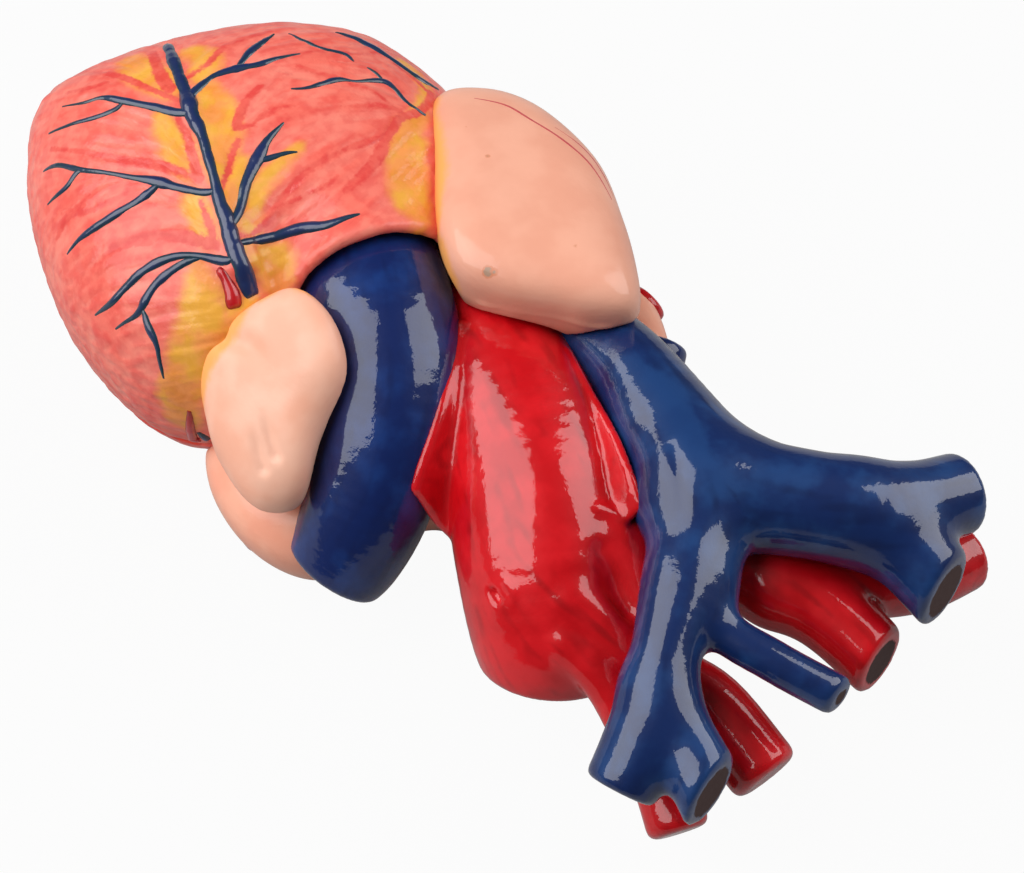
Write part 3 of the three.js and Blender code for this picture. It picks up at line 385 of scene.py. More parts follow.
# Dark red strokes painted on the front wall: points on the surface, then half width
RED_STROKES = {
    "beside_vein_top": [(-13, -106.5, 57, 0.8), (-9, -100, 60.5, 1), (-5.5, -93.5, 62, 1.2)],
    "beside_vein_middle": [(-1, -86.5, 63.5, 0.6), (2.5, -79.5, 63.5, 0.9), (7.5, -72.5, 63, 1)],
    "beside_vein_lower": [(11, -69, 62.5, 0.4), (13.5, -63.5, 61.5, 0.7), (15.5, -61, 60.5, 0.7)],
    "left_upper": [
        (-2.5, -118, 51.5, 0.4), (-2.5, -110, 57.5, 0.8), (-3, -104, 59.5, 0.9), (-3, -97, 62, 0.6),
        (-4, -88.5, 63, 0.4),
    ],
    "left_upper_low": [(4, -114, 54, 0.3), (2.5, -109.5, 57.5, 0.4), (-0.5, -106.5, 58.5, 0.6)],
    "left_middle": [
        (15.5, -107.5, 52, 0.3), (14.5, -98.5, 57.5, 0.5), (13, -90.5, 60, 0.8), (10, -83.5, 62, 0.9),
        (8.5, -78, 62.5, 0.8), (7.5, -72, 63, 0.6),
    ],
    "left_lower_a": [
        (28.5, -93, 48, 0.2), (25, -92, 53, 0.6), (23, -88, 56, 0.6), (19.5, -85, 58.5, 0.4),
        (17, -83, 60, 0.2),
    ],
    "left_lower_b": [(25, -95, 51.5, 0.3), (23, -91.5, 54.5, 0.4), (21, -90.5, 56.5, 0.2)],
    "groove_patch": [
        (26.5, -79, 55.5, 0.3), (23.5, -75.5, 58, 0.8), (20.5, -71.5, 59.5, 1), (18, -66.5, 60.5, 1.2),
        (15.5, -61, 60.5, 1.2),
    ],
    "groove_patch_low": [(30, -80.5, 52.5, 0.3), (25.5, -77, 57, 0.6), (22.5, -72, 58.5, 0.6)],
    "right_top": [
        (-32.5, -92, 57.5, 0.3), (-28, -93, 58.5, 0.6), (-22, -94.5, 59.5, 0.6),
        (-15.5, -93, 61.5, 0.5), (-10, -92.5, 62, 0.3),
    ],
    "right_loop": [
        (-17, -80, 63, 0.3), (-13, -79, 63.5, 0.6), (-9.5, -77.5, 63.5, 1), (-6.5, -75.5, 63.5, 1),
        (-9, -73, 63.5, 0.4),
    ],
    "right_patch": [
        (-17.5, -71, 63, 0.3), (-14.5, -73, 63.5, 0.7), (-11.5, -74, 63.5, 0.9), (-8.5, -74, 63.5, 0.4),
    ],
    "right_long": [
        (2, -58.5, 60.5, 0.2), (-1.5, -58.5, 61, 0.5), (-6, -58.5, 62, 0.6), (-11, -58, 62.5, 0.5),
        (-16.5, -57, 62, 0.5), (-22, -55.5, 60.5, 0.8), (-25, -54, 59.5, 0.6),
    ],
    "right_long_low": [(1.5, -58.5, 60.5, 0.2), (-3, -56, 60.5, 0.2)],
    "right_fork": [(-5, -55.5, 61, 0.2), (-8.5, -53.5, 61, 0.4), (-11, -53.5, 61.5, 0.3)],
    "groove_artery": [
        (-44.5, -59.5, 52, 0.6), (-40.5, -56.5, 53.5, 0.8), (-35.5, -55, 56.5, 0.8),
        (-32, -56, 58, 0.8), (-28, -55, 59, 1), (-23.5, -53, 59.5, 1), (-20, -51.5, 60, 1.1),
        (-15.5, -50.5, 60, 1), (-10, -50.5, 60, 0.6),
    ],
    "conus_line": [
        (-24.5, -65, 62, 0.2), (-28.5, -62, 60.5, 0.6), (-32.5, -59, 58.5, 0.6),
        (-33.5, -56.5, 57.5, 0.6),
    ],
    "conus_line_thin": [(-30.5, -68, 60.5, 0.2), (-32.5, -63.5, 59, 0.3), (-33, -58.5, 58, 0.3)],
    "outflow_line": [
        (-30, -81, 60.5, 0.2), (-35, -78, 59, 0.3), (-39, -74.5, 57.5, 0.4), (-45, -72.5, 53.5, 0.4),
    ],
    "outflow_line_low": [(-26.5, -78, 61.5, 0.2), (-28.5, -74, 61.5, 0.3), (-30.5, -70, 60.5, 0.3)],
    "edge_line": [(-44, -68.5, 54, 0.2), (-44, -64, 53.5, 0.3), (-44, -60, 52.5, 0.4)],
    "lobe_mark": [(-42.5, -55.5, 52.5, 0.3), (-44, -53.5, 54, 0.5), (-46, -51.5, 54.5, 0.4)],
    "pink_stroke": [
        (-4.5, -73, 63.5, 0.8), (-0.5, -71.5, 63.5, 0.6), (3, -69.5, 63.5, 0.6), (7, -67, 64, 0.4),
    ],
    "tip_mark": [
        (12, -58.5, 61.5, 0.2), (10, -58, 60, 0.3), (6, -57.5, 60, 0.3), (2.5, -57.5, 60, 0.5),
    ],
}
# Yellow fat painted along the vessels and over the edge of the auricles
FAT_PATCHES = {
    "top_left": [
        (-8.5, -109, 57, 2), (-7.3, -103.8, 59.5, 3.2), (-6, -98.5, 61.3, 3.4), (-4.8, -93.5, 62.6, 2),
    ],
    "top_right": [(-17, -98, 59.5, 2.4), (-16, -93.5, 61.4, 2.6), (-12, -91, 62.6, 1.8)],
    "vein_right": [
        (-10.5, -87, 63.2, 1.8), (-7, -81.5, 63.8, 3.2), (-3, -76.5, 63.8, 3.2), (1, -73, 63.8, 2.8),
        (4.5, -69.5, 63.5, 2.2), (7, -65, 63, 1.8), (9.5, -61, 62, 1.2),
    ],
    "vein_right_inner": [(-1, -69.5, 63.5, 1.2), (3, -67, 63, 1.6), (6, -64.5, 62.5, 1.4)],
    "vein_left": [
        (1, -89.5, 62.9, 1.2), (3, -86, 63, 2.2), (4.8, -80.5, 63.1, 2.8), (7, -76, 63.1, 2.2),
    ],
    "vein_left_low": [(11.5, -71, 62.5, 1.6), (13.2, -67, 61.9, 2.4), (15.4, -62.5, 61, 1.6)],
    "below_branch": [
        (8.5, -60, 61.5, 1.2), (9.5, -57.5, 60, 0.8), (12.5, -56, 60.5, 1), (12, -53.5, 57.5, 1.7),
        (13, -51, 54.5, 1.9),
    ],
    "lip": [(9.5, -54.5, 58, 1.7), (8, -51.5, 55.5, 2.3), (11.5, -50, 53, 2.3)],
    "golden": [
        (21.5, -60.5, 58.5, 1.7), (23.5, -57.5, 57, 3.1), (26.5, -54.5, 54, 4.2), (30, -53.5, 51, 4.2),
        (33.5, -53, 46, 3.9), (36.5, -53.5, 40, 3.9), (37, -53, 32.5, 3),
    ],
    "golden_edge": [
        (21, -53, 55.5, 1.5), (22, -50.5, 53.5, 1.7), (26.5, -49, 51, 1.5), (29.5, -50.5, 49, 1.5),
    ],
    "auricle_bleed": [
        (18, -50, 54.5, 1.4), (23.5, -48.5, 54, 1.3), (27, -49.5, 50, 1.4), (31, -51, 47.5, 1.2),
    ],
    "groove": [
        (-43.5, -60, 53, 0.8), (-37.5, -55.5, 55.5, 1.2), (-31.5, -52.5, 57.5, 2.6),
        (-26.5, -49.5, 57.5, 3.4), (-22, -45.5, 57.5, 3.8), (-18, -42, 56, 3.7), (-15.5, -38, 56, 2.7),
    ],
    "groove_pale": [(-47, -69, 51.5, 0.8), (-46, -65, 52, 1.2), (-44.5, -61, 52.5, 1.2)],
    "branch_right": [(-10.5, -63, 63, 0.6), (1.5, -63, 62, 1.4), (6, -60.5, 61.5, 1.4)],
}

# Rim of orange paint round the lower left edge of the front wall, and small chips in the lacquer
RIM_BAND = {
    "rim": [
        (39.2, -76, 29, 0.6), (40.2, -70, 27.2, 1.5), (39.5, -65, 25.8, 2), (39.1, -61.1, 25, 2.2),
        (38.3, -56.7, 25.1, 2.2), (37, -53.7, 24.6, 2),
    ],
}
AURICLE_CHIPS = [
    (-13.7, -17.3, 59.6, 1.1), (-14.4, -16.4, 59.6, 0.8), (-38.6, -44.3, 57.8, 0.35),
    (-35, -35.6, 59.4, 0.3), (-28.6, -8.2, 59.8, 0.4),
]

# Lines pressed or raised: x, y, z, half width, height
LEFT_AURICLE_FOLDS = {
    "cleft": [
        (26.5, -49, 51.5, 2.6, -1.6), (25.9, -44, 54.5, 2.6, -1.2), (27.2, -37.1, 54.5, 2.6, -0.2),
    ],
    "fold_right": [
        (33.6, -33.3, 49.6, 1.4, -0.2), (35.4, -30.3, 47.8, 1.4, -0.9), (36.9, -27.3, 45.7, 1.4, -0.9),
    ],
    "fold_left": [
        (36.4, -33.5, 46.8, 1.4, -0.2), (38.1, -30.9, 45.1, 1.4, -0.9), (39.4, -28.4, 42.9, 1.4, -0.9),
    ],
}
RIGHT_AURICLE_FOLDS = {
    "rim": [
        (-11.3, -17.5, 51.5, 0.8, 0.25), (-12.3, -11.5, 52.5, 0.8, 0.3), (-17.5, -3.2, 52, 0.8, 0.3),
        (-22, 3, 50.5, 0.8, 0.3), (-27.5, 6.5, 49.5, 0.8, 0.25),
    ],
}
AORTA_FOLDS = {
    "dimple": [(29.1, 19.6, 36.2, 0.8, -1.5), (29.7, 21.2, 35.8, 0.8, -1.5)],
    "dimple_lip": [
        (27, 21.3, 38.9, 1.1, 0.4), (27.6, 23.3, 38.3, 1.1, 0.4), (29.2, 24.1, 36.8, 1.1, 0.3),
    ],
    "shelf": [(6, 26.1, 44, 1.5, 0.7), (4.5, 28.6, 43, 1.5, 0.9), (5.5, 32.6, 40.8, 1.5, 0.4)],
    "carotid_hollow": [
        (11.6, 32, 40.8, 2.8, -0.8), (13, 36, 37.6, 2.8, -1.6), (14.8, 40.4, 34.4, 2.6, -1.2),
    ],
    "branch_valley": [
        (25, 35.4, 34.6, 1.3, -0.5), (23.2, 40.4, 31.6, 1.3, -1.4), (22.2, 45.4, 29, 1.3, -1.2),
    ],
}
FRONT_WALL_FOLDS = {
    "lip_fold": [
        (10.3, -56.3, 60.6, 1, 0.3), (12.5, -53.4, 58.3, 1, 0.6), (13.6, -51.2, 55.5, 1, 0.6),
        (13.5, -49.4, 53.1, 1, 0.3),
    ],
}
VEIN_FOLDS = {
    "junction_crease": [
        (-9, 31, 53.5, 1.4, -0.4), (-4, 36.5, 53.5, 1.4, -0.7), (0.5, 40.5, 52, 1.4, -0.4),
    ],
}
# Places on the vena cava painted a paler blue: a painted reflection of broad light on its top
VEIN_PAINTED_REFLECTION = {
    "vena_cava": [
        (-19, 12, 51.5, 2.6), (-17, 20, 53, 3.4), (-13.5, 29, 54.5, 3.8), (-9, 37.5, 54, 2.2),
    ],
}


# Lines and frames

def smooth_line(points, per_span, closed=False):
    """Points along a smooth curve through the given points; extra columns are carried along."""
    p = np.asarray(points, float)
    if closed:
        padded = np.vstack([p[-1:], p, p[:2]])
        spans = len(p)
    else:
        padded = np.vstack([2 * p[0] - p[1], p, 2 * p[-1] - p[-2]])
        spans = len(p) - 1
    out = []
    for i in range(spans):
        a, b, c, d = padded[i:i + 4]
        for t in np.linspace(0, 1, per_span, endpoint=False):
            bend = (c - a) * t + (2 * a - 5 * b + 4 * c - d) * t ** 2 + (3 * b - a - 3 * c + d) * t ** 3
            out.append(b + 0.5 * bend)
    if not closed:
        out.append(p[-1])
    return np.array(out)


def unit(v):
    return v / np.maximum(np.linalg.norm(v, axis=-1, keepdims=True), 1e-9)


def beside(points, line, room):
    """Which points lie in the box round a line, with some room."""
    low = line[:, :3].min(0) - room
    high = line[:, :3].max(0) + room
    return (points > low).all(1) & (points < high).all(1)


def measure(points, start, end):
    """How far along a stretch the nearest place to each point is, and how far away."""
    run = end[:3] - start[:3]
    share = np.clip(((points - start[:3]) @ run) / max(run @ run, 1e-9), 0, 1)
    return share, np.linalg.norm(points - start[:3] - share[:, None] * run, axis=1)


def vessel_line(stations, per_span=6):
    """Centre line, its direction, half width and half height along a vessel."""
    line = smooth_line(stations, per_span)
    centre = line[:, :3].copy()
    return centre, unit(np.gradient(centre, axis=0)), line[:, 3], line[:, 4]


# Moulding: a block of samples that hold the distance to the surface, below zero inside

class Block:
    """Samples between two corners, all outside until forms are added."""

    def __init__(self, low, high, grain):
        self.grain = grain
        self.low = np.array(low, float)
        self.counts = np.ceil((np.array(high, float) - self.low) / grain).astype(int) + 1
        self.axes = [
            (start + grain * np.arange(count)).astype(np.float32)
            for start, count in zip(self.low, self.counts)
        ]
        self.field = np.full(self.counts, FAR, np.float32)

    def window(self, low, high):
        """Slices of the block that cover a box."""
        out = []
        for i in range(3):
            a = int(np.floor((low[i] - self.low[i]) / self.grain))
            b = int(np.ceil((high[i] - self.low[i]) / self.grain)) + 1
            out.append(slice(max(a, 0), min(max(b, 0), self.counts[i])))
        return tuple(out)

    def points(self, window):
        """The samples' x, y and z, each along its own axis."""
        x = self.axes[0][window[0]][:, None, None]
        y = self.axes[1][window[1]][None, :, None]
        z = self.axes[2][window[2]][None, None, :]
        return x, y, z

    def add(self, form, blend=0.0):
        window = self.window(*form.reach(blend + 3 * self.grain))
        self.field[window] = join(self.field[window], form.distance(*self.points(window)), blend)

    def cut(self, form, blend=0.0, grow=0.0):
        window = self.window(*form.reach(grow + blend + 3 * self.grain))
        gap = grow - form.distance(*self.points(window))
        self.field[window] = -join(-self.field[window], -gap, blend)

    def keep(self, form, blend=0.0):
        """Drops what lies outside a form."""
        x, y, z = self.points((slice(None),) * 3)
        self.field = -join(-self.field, -form.distance(x, y, z), blend)


def join(a, b, blend):
    """The nearer of two distances, rounded where both are close."""
    near = np.minimum(a, b)
    if blend <= 0:
        return near
    share = np.maximum(blend - np.abs(a - b), 0) / blend
    return near - share * share * (blend / 4)


class Pillow:
    """A rounded cushion over a plan outline, with its own fullness above and below its widest ring."""

    def __init__(self, shape, grow=0.0):
        self.shape = shape
        self.grow = grow
        outline = smooth_line(shape["outline"], 12, closed=True) - np.array(shape["centre"], float)
        angle = np.arctan2(outline[:, 1], outline[:, 0])
        order = np.argsort(angle)
        radius = np.hypot(outline[:, 0], outline[:, 1])[order]
        angle = angle[order]
        self.angle = np.concatenate([angle - 2 * np.pi, angle, angle + 2 * np.pi])
        self.radius = np.tile(radius, 3)
        self.turning = np.gradient(self.radius, self.angle)

    def reach(self, margin):
        """The lowest and highest corner of the form, with some room."""
        outline = np.array(self.shape["outline"], float)
        tall = max(self.shape["top"], self.shape["bottom"])
        widest = 30
        tilt = abs(self.shape["slope"]) * widest
        room = self.grow + margin + 2
        low = [*(outline.min(0) - room), self.shape["level"] - tall - tilt - room]
        high = [*(outline.max(0) + room), self.shape["level"] + tall + tilt + room]
        return low, high

    def distance(self, x, y, z):
        shape = self.shape
        dx = x - shape["centre"][0]
        dy = y - shape["centre"][1]
        angle = np.arctan2(dy, dx)
        plan = np.interp(angle, self.angle, self.radius)
        turning = np.interp(angle, self.angle, self.turning)
        across = np.hypot(dx, dy) / plan + 1e-4
        plan_steepness = np.sqrt(1 + (turning / plan) ** 2) / plan
        rise = z - shape["level"] - shape["slope"] * dx
        above = rise > 0
        reach = np.where(above, shape["top"], shape["bottom"])
        up = np.abs(rise) / reach + 1e-4
        up_steepness = math.sqrt(1 + shape["slope"] ** 2) / reach

        def with_power(power):
            total = (across ** power).astype(np.float32) + (up ** power).astype(np.float32)
            size = total ** (1 / power)
            plan_part = (across ** (power - 1) * plan_steepness) ** 2
            up_part = (up ** (power - 1) * up_steepness) ** 2
            steep = np.sqrt(plan_part.astype(np.float32) + up_part.astype(np.float32)) * size / total
            return (size - 1) / np.maximum(steep, 1e-3) - self.grow

        distance = with_power(shape["power"])
        if "under_power" in shape:
            distance = np.where(above, distance, with_power(shape["under_power"]))
        return distance


class Vessel:
    """A tube with an oval section along a smooth line, rounded or sawn off at its ends.

    Its distance is worked out nearby only. A slanting saw cut leaves the line a share of
    the half width longer.
    """

    NEARBY = 8
    SLANT = 0.6

    def __init__(self, stations, grow=0.0, longer=0.0, sawn=(False, True), saw_way=None, rim=SAWN_RIM):
        self.centre, direction, self.width, self.height = vessel_line(stations)
        self.grow = grow
        self.rim = rim
        self.saws = []
        for k, sign in ((0, -1), (-1, 1)):
            if not sawn[k]:
                continue
            way = direction[k] * sign
            place = self.centre[k] + way * longer
            self.centre[k] = place
            if saw_way is not None and k == -1:
                self.centre[k] = place + way * self.SLANT * self.width[k]
                way = unit(np.array(saw_way, float))
            self.saws.append((place, way))

    def reach(self, margin):
        room = max(self.width.max(), self.height.max()) + self.grow + margin + 2
        return self.centre.min(0) - room, self.centre.max(0) + room

    def stretch_window(self, i, axes):
        """Slices of the samples near the stretch from one station to the next."""
        a = self.centre[i]
        b = self.centre[i + 1]
        thickest = max(self.width[i:i + 2].max(), self.height[i:i + 2].max())
        room = thickest + self.grow + self.NEARBY
        return tuple(
            slice(*np.searchsorted(axes[c], (min(a[c], b[c]) - room, max(a[c], b[c]) + room)))
            for c in range(3)
        )

    def stretch_distance(self, i, x, y, z):
        """Distance to the oval tube between one station and the next."""
        a = self.centre[i]
        run = self.centre[i + 1] - a
        share = ((x - a[0]) * run[0] + (y - a[1]) * run[1] + (z - a[2]) * run[2]) / (run @ run)
        share = np.clip(share, 0, 1).astype(np.float32)
        along = unit(run)
        side = unit(np.cross(along, (0, 0, 1)))
        lift = np.cross(side, along)
        ox = x - np.float32(a[0]) - np.float32(run[0]) * share
        oy = y - np.float32(a[1]) - np.float32(run[1]) * share
        oz = z - np.float32(a[2]) - np.float32(run[2]) * share
        across = ox * np.float32(side[0]) + oy * np.float32(side[1])
        up = ox * np.float32(lift[0]) + oy * np.float32(lift[1]) + oz * np.float32(lift[2])
        widening = np.float32(self.width[i + 1] - self.width[i])
        heightening = np.float32(self.height[i + 1] - self.height[i])
        width = np.float32(self.width[i] + self.grow) + widening * share
        height = np.float32(self.height[i] + self.grow) + heightening * share
        radius = np.sqrt(ox * ox + oy * oy + oz * oz)
        oval = np.sqrt((across / width) ** 2 + (up / height) ** 2) + 1e-4
        return radius - np.sqrt(across * across + up * up) / oval

    def distance(self, x, y, z):
        best = np.full((x.size, y.size, z.size), FAR, np.float32)
        axes = [x.ravel(), y.ravel(), z.ravel()]
        for i in range(len(self.centre) - 1):
            part = self.stretch_window(i, axes)
            value = self.stretch_distance(i, x[part[0]], y[:, part[1]], z[:, :, part[2]])
            best[part] = np.minimum(best[part], value)
        for place, way in self.saws:
            plane = (x - place[0]) * way[0] + (y - place[1]) * way[1] + (z - place[2]) * way[2]
            best = -join(-best, -plane.astype(np.float32), self.rim)
        return best.astype(np.float32)


def web(lines, thickness):
    """A thin sheet through several lines, as rods laid side by side."""
    lines = np.stack([smooth_line(line, 3) for line in lines])
    rows = smooth_line(lines.reshape(len(lines), -1), 6).reshape(-1, *lines.shape[1:])
    return [Vessel([(*p, thickness, thickness) for p in row], sawn=(False, False)) for row in rows]


class Below:
    """Everything under a vessel's widest line, which a lifted piece must leave free."""

    def __init__(self, stations, grow, margin):
        self.centre, direction, width, _ = vessel_line(stations)
        self.centre[0] -= direction[0] * margin
        self.centre[-1] += direction[-1] * margin
        self.width = width + grow

    def reach(self, margin):
        room = self.width.max() + margin
        low = self.centre.min(0) - room
        high = self.centre.max(0) + room
        low[2] = -FAR
        return low, high

    def distance(self, x, y, z):
        best = FAR
        for i in range(len(self.centre) - 1):
            a = self.centre[i]
            run = self.centre[i + 1] - a
            length = run[0] ** 2 + run[1] ** 2
            share = np.clip(((x - a[0]) * run[0] + (y - a[1]) * run[1]) / length, 0, 1)
            gap = np.hypot(x - a[0] - run[0] * share, y - a[1] - run[1] * share)
            width = self.width[i] + (self.width[i + 1] - self.width[i]) * share
            best = np.minimum(best, np.maximum(gap - width, z - a[2] - run[2] * share))
        for k, sign in ((0, -1), (-1, 1)):
            c = self.centre[k]
            run = self.centre[1] - self.centre[0] if k == 0 else self.centre[-1] - self.centre[-2]
            way = unit(run[:2]) * sign
            best = np.maximum(best, (x - c[0]) * way[0] + (y - c[1]) * way[1] + 0 * z)
        return best.astype(np.float32)


class Level:
    """Everything over a level, or under it."""

    def __init__(self, level, above=True):
        self.level = level
        self.sign = 1 if above else -1

    def distance(self, x, y, z):
        return (self.sign * (self.level - z) + 0 * x + 0 * y).astype(np.float32)


# Corners of a cell between eight samples, and the pairs of corners that share an edge
CELL_CORNERS = [(i, j, k) for i in (0, 1) for j in (0, 1) for k in (0, 1)]
CELL_EDGES = [
    (a, b) for a in range(8) for b in range(a + 1, 8)
    if np.abs(np.subtract(CELL_CORNERS[a], CELL_CORNERS[b])).sum() == 1
]


def crossing_points(field, cells):
    """The mean of the places where the surface crosses each cell's edges, counted in cells."""
    values = np.stack([field[tuple((cells + corner).T)] for corner in CELL_CORNERS], 1)
    total = np.zeros((len(cells), 3))
    count = np.zeros(len(cells))
    for a, b in CELL_EDGES:
        start = np.array(CELL_CORNERS[a])
        step = np.array(CELL_CORNERS[b]) - start
        crossed = (values[:, a] < 0) != (values[:, b] < 0)
        share = values[crossed, a] / (values[crossed, a] - values[crossed, b])
        total[crossed] += start + step * share[:, None]
        count[crossed] += 1
    return cells + total / count[:, None]


def crossing_faces(inside, index):
    """A face for every two neighbouring samples on either side of the surface, facing outwards."""
    faces = []
    last = np.array(inside.shape) - 1
    for axis in range(3):
        lower = [slice(None)] * 3
        upper = [slice(None)] * 3
        lower[axis] = slice(0, -1)
        upper[axis] = slice(1, None)
        starts_inside = inside[tuple(lower)]
        edges = np.argwhere(starts_inside != inside[tuple(upper)])
        around = [(axis + 1) % 3, (axis + 2) % 3]
        edges = edges[((edges[:, around] > 0) & (edges[:, around] < last[around])).all(1)]
        outward = starts_inside[tuple(edges.T)]
        corners = []
        for steps in ((0, 0), (-1, 0), (-1, -1), (0, -1)):
            cell = edges.copy()
            cell[:, around] += steps
            corners.append(index[tuple(cell.T)])
        face = np.stack(corners, 1)
        faces.append(np.where(outward[:, None], face, face[:, ::-1]))
    return np.concatenate(faces)


def draw_surface(block):
    """Points and four-sided faces where the block's distance is zero."""
    inside = block.field < 0
    nx, ny, nz = block.counts - 1
    filled = np.zeros((nx, ny, nz), np.int8)
    for i, j, k in CELL_CORNERS:
        filled += inside[i:nx + i, j:ny + j, k:nz + k]
    cells = np.argwhere((filled > 0) & (filled < 8))
    index = np.full(filled.shape, -1, np.int32)
    index[tuple(cells.T)] = np.arange(len(cells))
    points = crossing_points(block.field, cells) * block.grain + block.low
    return points, crossing_faces(inside, index)


class Surface:
    """Points and faces of a piece in the drawing's millimetres, with paint values on the points."""

    def __init__(self, points, faces):
        self.points = points
        self.faces = faces
        self.paint = {}
        edges = np.concatenate([faces[:, [0, 1]], faces[:, [1, 2]], faces[:, [2, 3]], faces[:, [3, 0]]])
        self.edges = np.unique(np.sort(edges, 1), axis=0)

    def average(self, values):
        """Each point's mean over its neighbours."""
        i, j = self.edges.T
        size = len(self.points)
        count = np.bincount(i, minlength=size) + np.bincount(j, minlength=size)
        out = np.stack([
            np.bincount(i, column[j], size) + np.bincount(j, column[i], size)
            for column in values.reshape(size, -1).T
        ], 1)
        return (out / np.maximum(count, 1)[:, None]).squeeze()

    def relax(self, rounds, amount=0.5):
        """Smooths the points without shrinking the form."""
        regrow = 1.03
        for _ in range(rounds):
            self.points += amount * (self.average(self.points) - self.points)
            self.points -= regrow * amount * (self.average(self.points) - self.points)

    def normals(self):
        """The outward way at each point."""
        p = self.points
        f = self.faces
        cross = np.cross(p[f[:, 2]] - p[f[:, 0]], p[f[:, 3]] - p[f[:, 1]])
        out = np.zeros_like(p)
        for k in range(4):
            for c in range(3):
                out[:, c] += np.bincount(f[:, k], cross[:, c], len(p))
        return unit(out)

    def sculpt(self, strokes):
        """Raises or presses the surface along lines of x, y, z, half width and height."""
        steepness = 1.2
        push = np.zeros(len(self.points))
        for stroke in strokes.values():
            line = smooth_line(stroke, 5)
            near = beside(self.points, line, 3 * line[:, 3].max())
            points = self.points[near]
            nearest = np.full(len(points), FAR)
            height = np.zeros(len(points))
            for a, b in zip(line[:-1], line[1:]):
                share, gap = measure(points, a, b)
                gap = gap / (a[3] + (b[3] - a[3]) * share)
                closer = gap < nearest
                nearest[closer] = gap[closer]
                height[closer] = (a[4] + (b[4] - a[4]) * share)[closer]
            push[near] += height * np.exp(-steepness * nearest ** 2)
        self.points += self.normals() * push[:, None]

    def keep_largest(self):
        """Drops stray islands."""
        label = np.arange(len(self.points))
        i, j = self.edges.T
        while True:
            low = np.minimum(label[i], label[j])
            fresh = label.copy()
            np.minimum.at(fresh, i, low)
            np.minimum.at(fresh, j, low)
            fresh = fresh[fresh]
            if (fresh == label).all():
                break
            label = fresh
        names, sizes = np.unique(label, return_counts=True)
        keep = label == names[sizes.argmax()]
        number = np.cumsum(keep) - 1
        return Surface(self.points[keep], number[self.faces[keep[self.faces[:, 0]]]])


def moulded(block, rounds=4):
    """The smoothed surface of a block, kept over the floor."""
    surface = Surface(*draw_surface(block)).keep_largest()
    surface.relax(rounds)
    surface.points[:, 2] = np.maximum(surface.points[:, 2], 0)
    return surface


def mould_forms(parts, grain, cuts=(), rounds=4):
    """One surface from forms that are joined, each with its blend, and then cut."""
    room = 4
    under_floor = -2
    lows, highs = zip(*[form.reach(room) for form, _ in parts])
    low = np.min(lows, 0)
    low[2] = max(low[2], under_floor)
    block = Block(low, np.max(highs, 0), grain)
    for form, blend in parts:
        block.add(form, blend)
    for form, blend, grow in cuts:
        block.cut(form, blend, grow)
    block.keep(Level(RESTING_GAP), FOOT_RIM)
    return moulded(block, rounds)


# Paint values on the surface

def stroke_margin(points, strokes, limit):
    """How far inside the nearest stroke each point lies, in millimetres; below zero outside."""
    best = np.full(len(points), -float(limit))
    for stroke in strokes.values():
        laid = [(*points[((points - p[:3]) ** 2).sum(1).argmin()], p[3]) for p in stroke]
        line = smooth_line(laid, 4)
        near = beside(points, line, limit + 3)
        value = best[near]
        for a, b in zip(line[:-1], line[1:]):
            share, gap = measure(points[near], a, b)
            value = np.maximum(value, a[3] + (b[3] - a[3]) * share - gap)
        best[near] = value
    return best


def lattice_noise(points, cell, seed):
    """Smooth random values from -1 to 1 with features the size of a cell."""
    size = 48
    lattice = np.random.default_rng(seed).uniform(-1, 1, (size, size, size)).astype(np.float32)
    q = points / cell
    base = np.floor(q).astype(int)
    t = q - base
    t = t * t * (3 - 2 * t)
    out = np.zeros(len(points))
    for i in (0, 1):
        for j in (0, 1):
            for k in (0, 1):
                weight = (
                    (t[:, 0] if i else 1 - t[:, 0])
                    * (t[:, 1] if j else 1 - t[:, 1])
                    * (t[:, 2] if k else 1 - t[:, 2])
                )
                at = (base + (i, j, k)) % size
                out += weight * lattice[at[:, 0], at[:, 1], at[:, 2]]
    return out


def fibre_directions(points, lines):
    """The way the muscle fibres and brush marks run, taken from the lines nearby."""
    evenness = 4
    fading = 1.5
    tensor = np.zeros((len(points), 3, 3))
    for line in lines:
        line = smooth_line(line, 2)[:, :3]
        for a, b in zip(line[:-1], line[1:]):
            way = unit(b - a)
            gap = ((points - (a + b) / 2) ** 2).sum(1)
            tensor += np.outer(way, way)[None] / (gap + evenness)[:, None, None] ** fading
    return np.linalg.eigh(tensor)[1][:, :, 2]


def brushed(points, directions, length, cell, seed):
    """Streaks along the directions, about -1 to 1."""
    steps = np.linspace(-length, length, 13)
    out = sum(lattice_noise(points + directions * step, cell, seed) for step in steps)
    return out / max(out.std(), 1e-6) / 2


def lumen_margin(points, ends, wall=2.2, depth=1.2):
    """How far inside the painted disc on a sawn end each point lies."""
    far_outside = -4.0
    best = np.full(len(points), far_outside)
    for stations, way in ends:
        centre, direction, width, height = vessel_line(stations)
        way = direction[-1] if way is None else unit(np.array(way, float))
        offset = points - centre[-1]
        axial = offset @ way
        radial = np.linalg.norm(offset - (offset @ direction[-1])[:, None] * direction[-1], axis=1)
        inside = min(width[-1], height[-1]) - wall - radial
        best = np.where(np.abs(axial) < depth, np.maximum(best, inside), best)
    return best


# Node trees

def colour(r, g, b):
    """A colour given in screen values from 0 to 255."""
    def channel(v):
        v /= 255
        return v / 12.92 if v <= 0.04045 else ((v + 0.055) / 1.055) ** 2.4
    return (channel(r), channel(g), channel(b), 1)


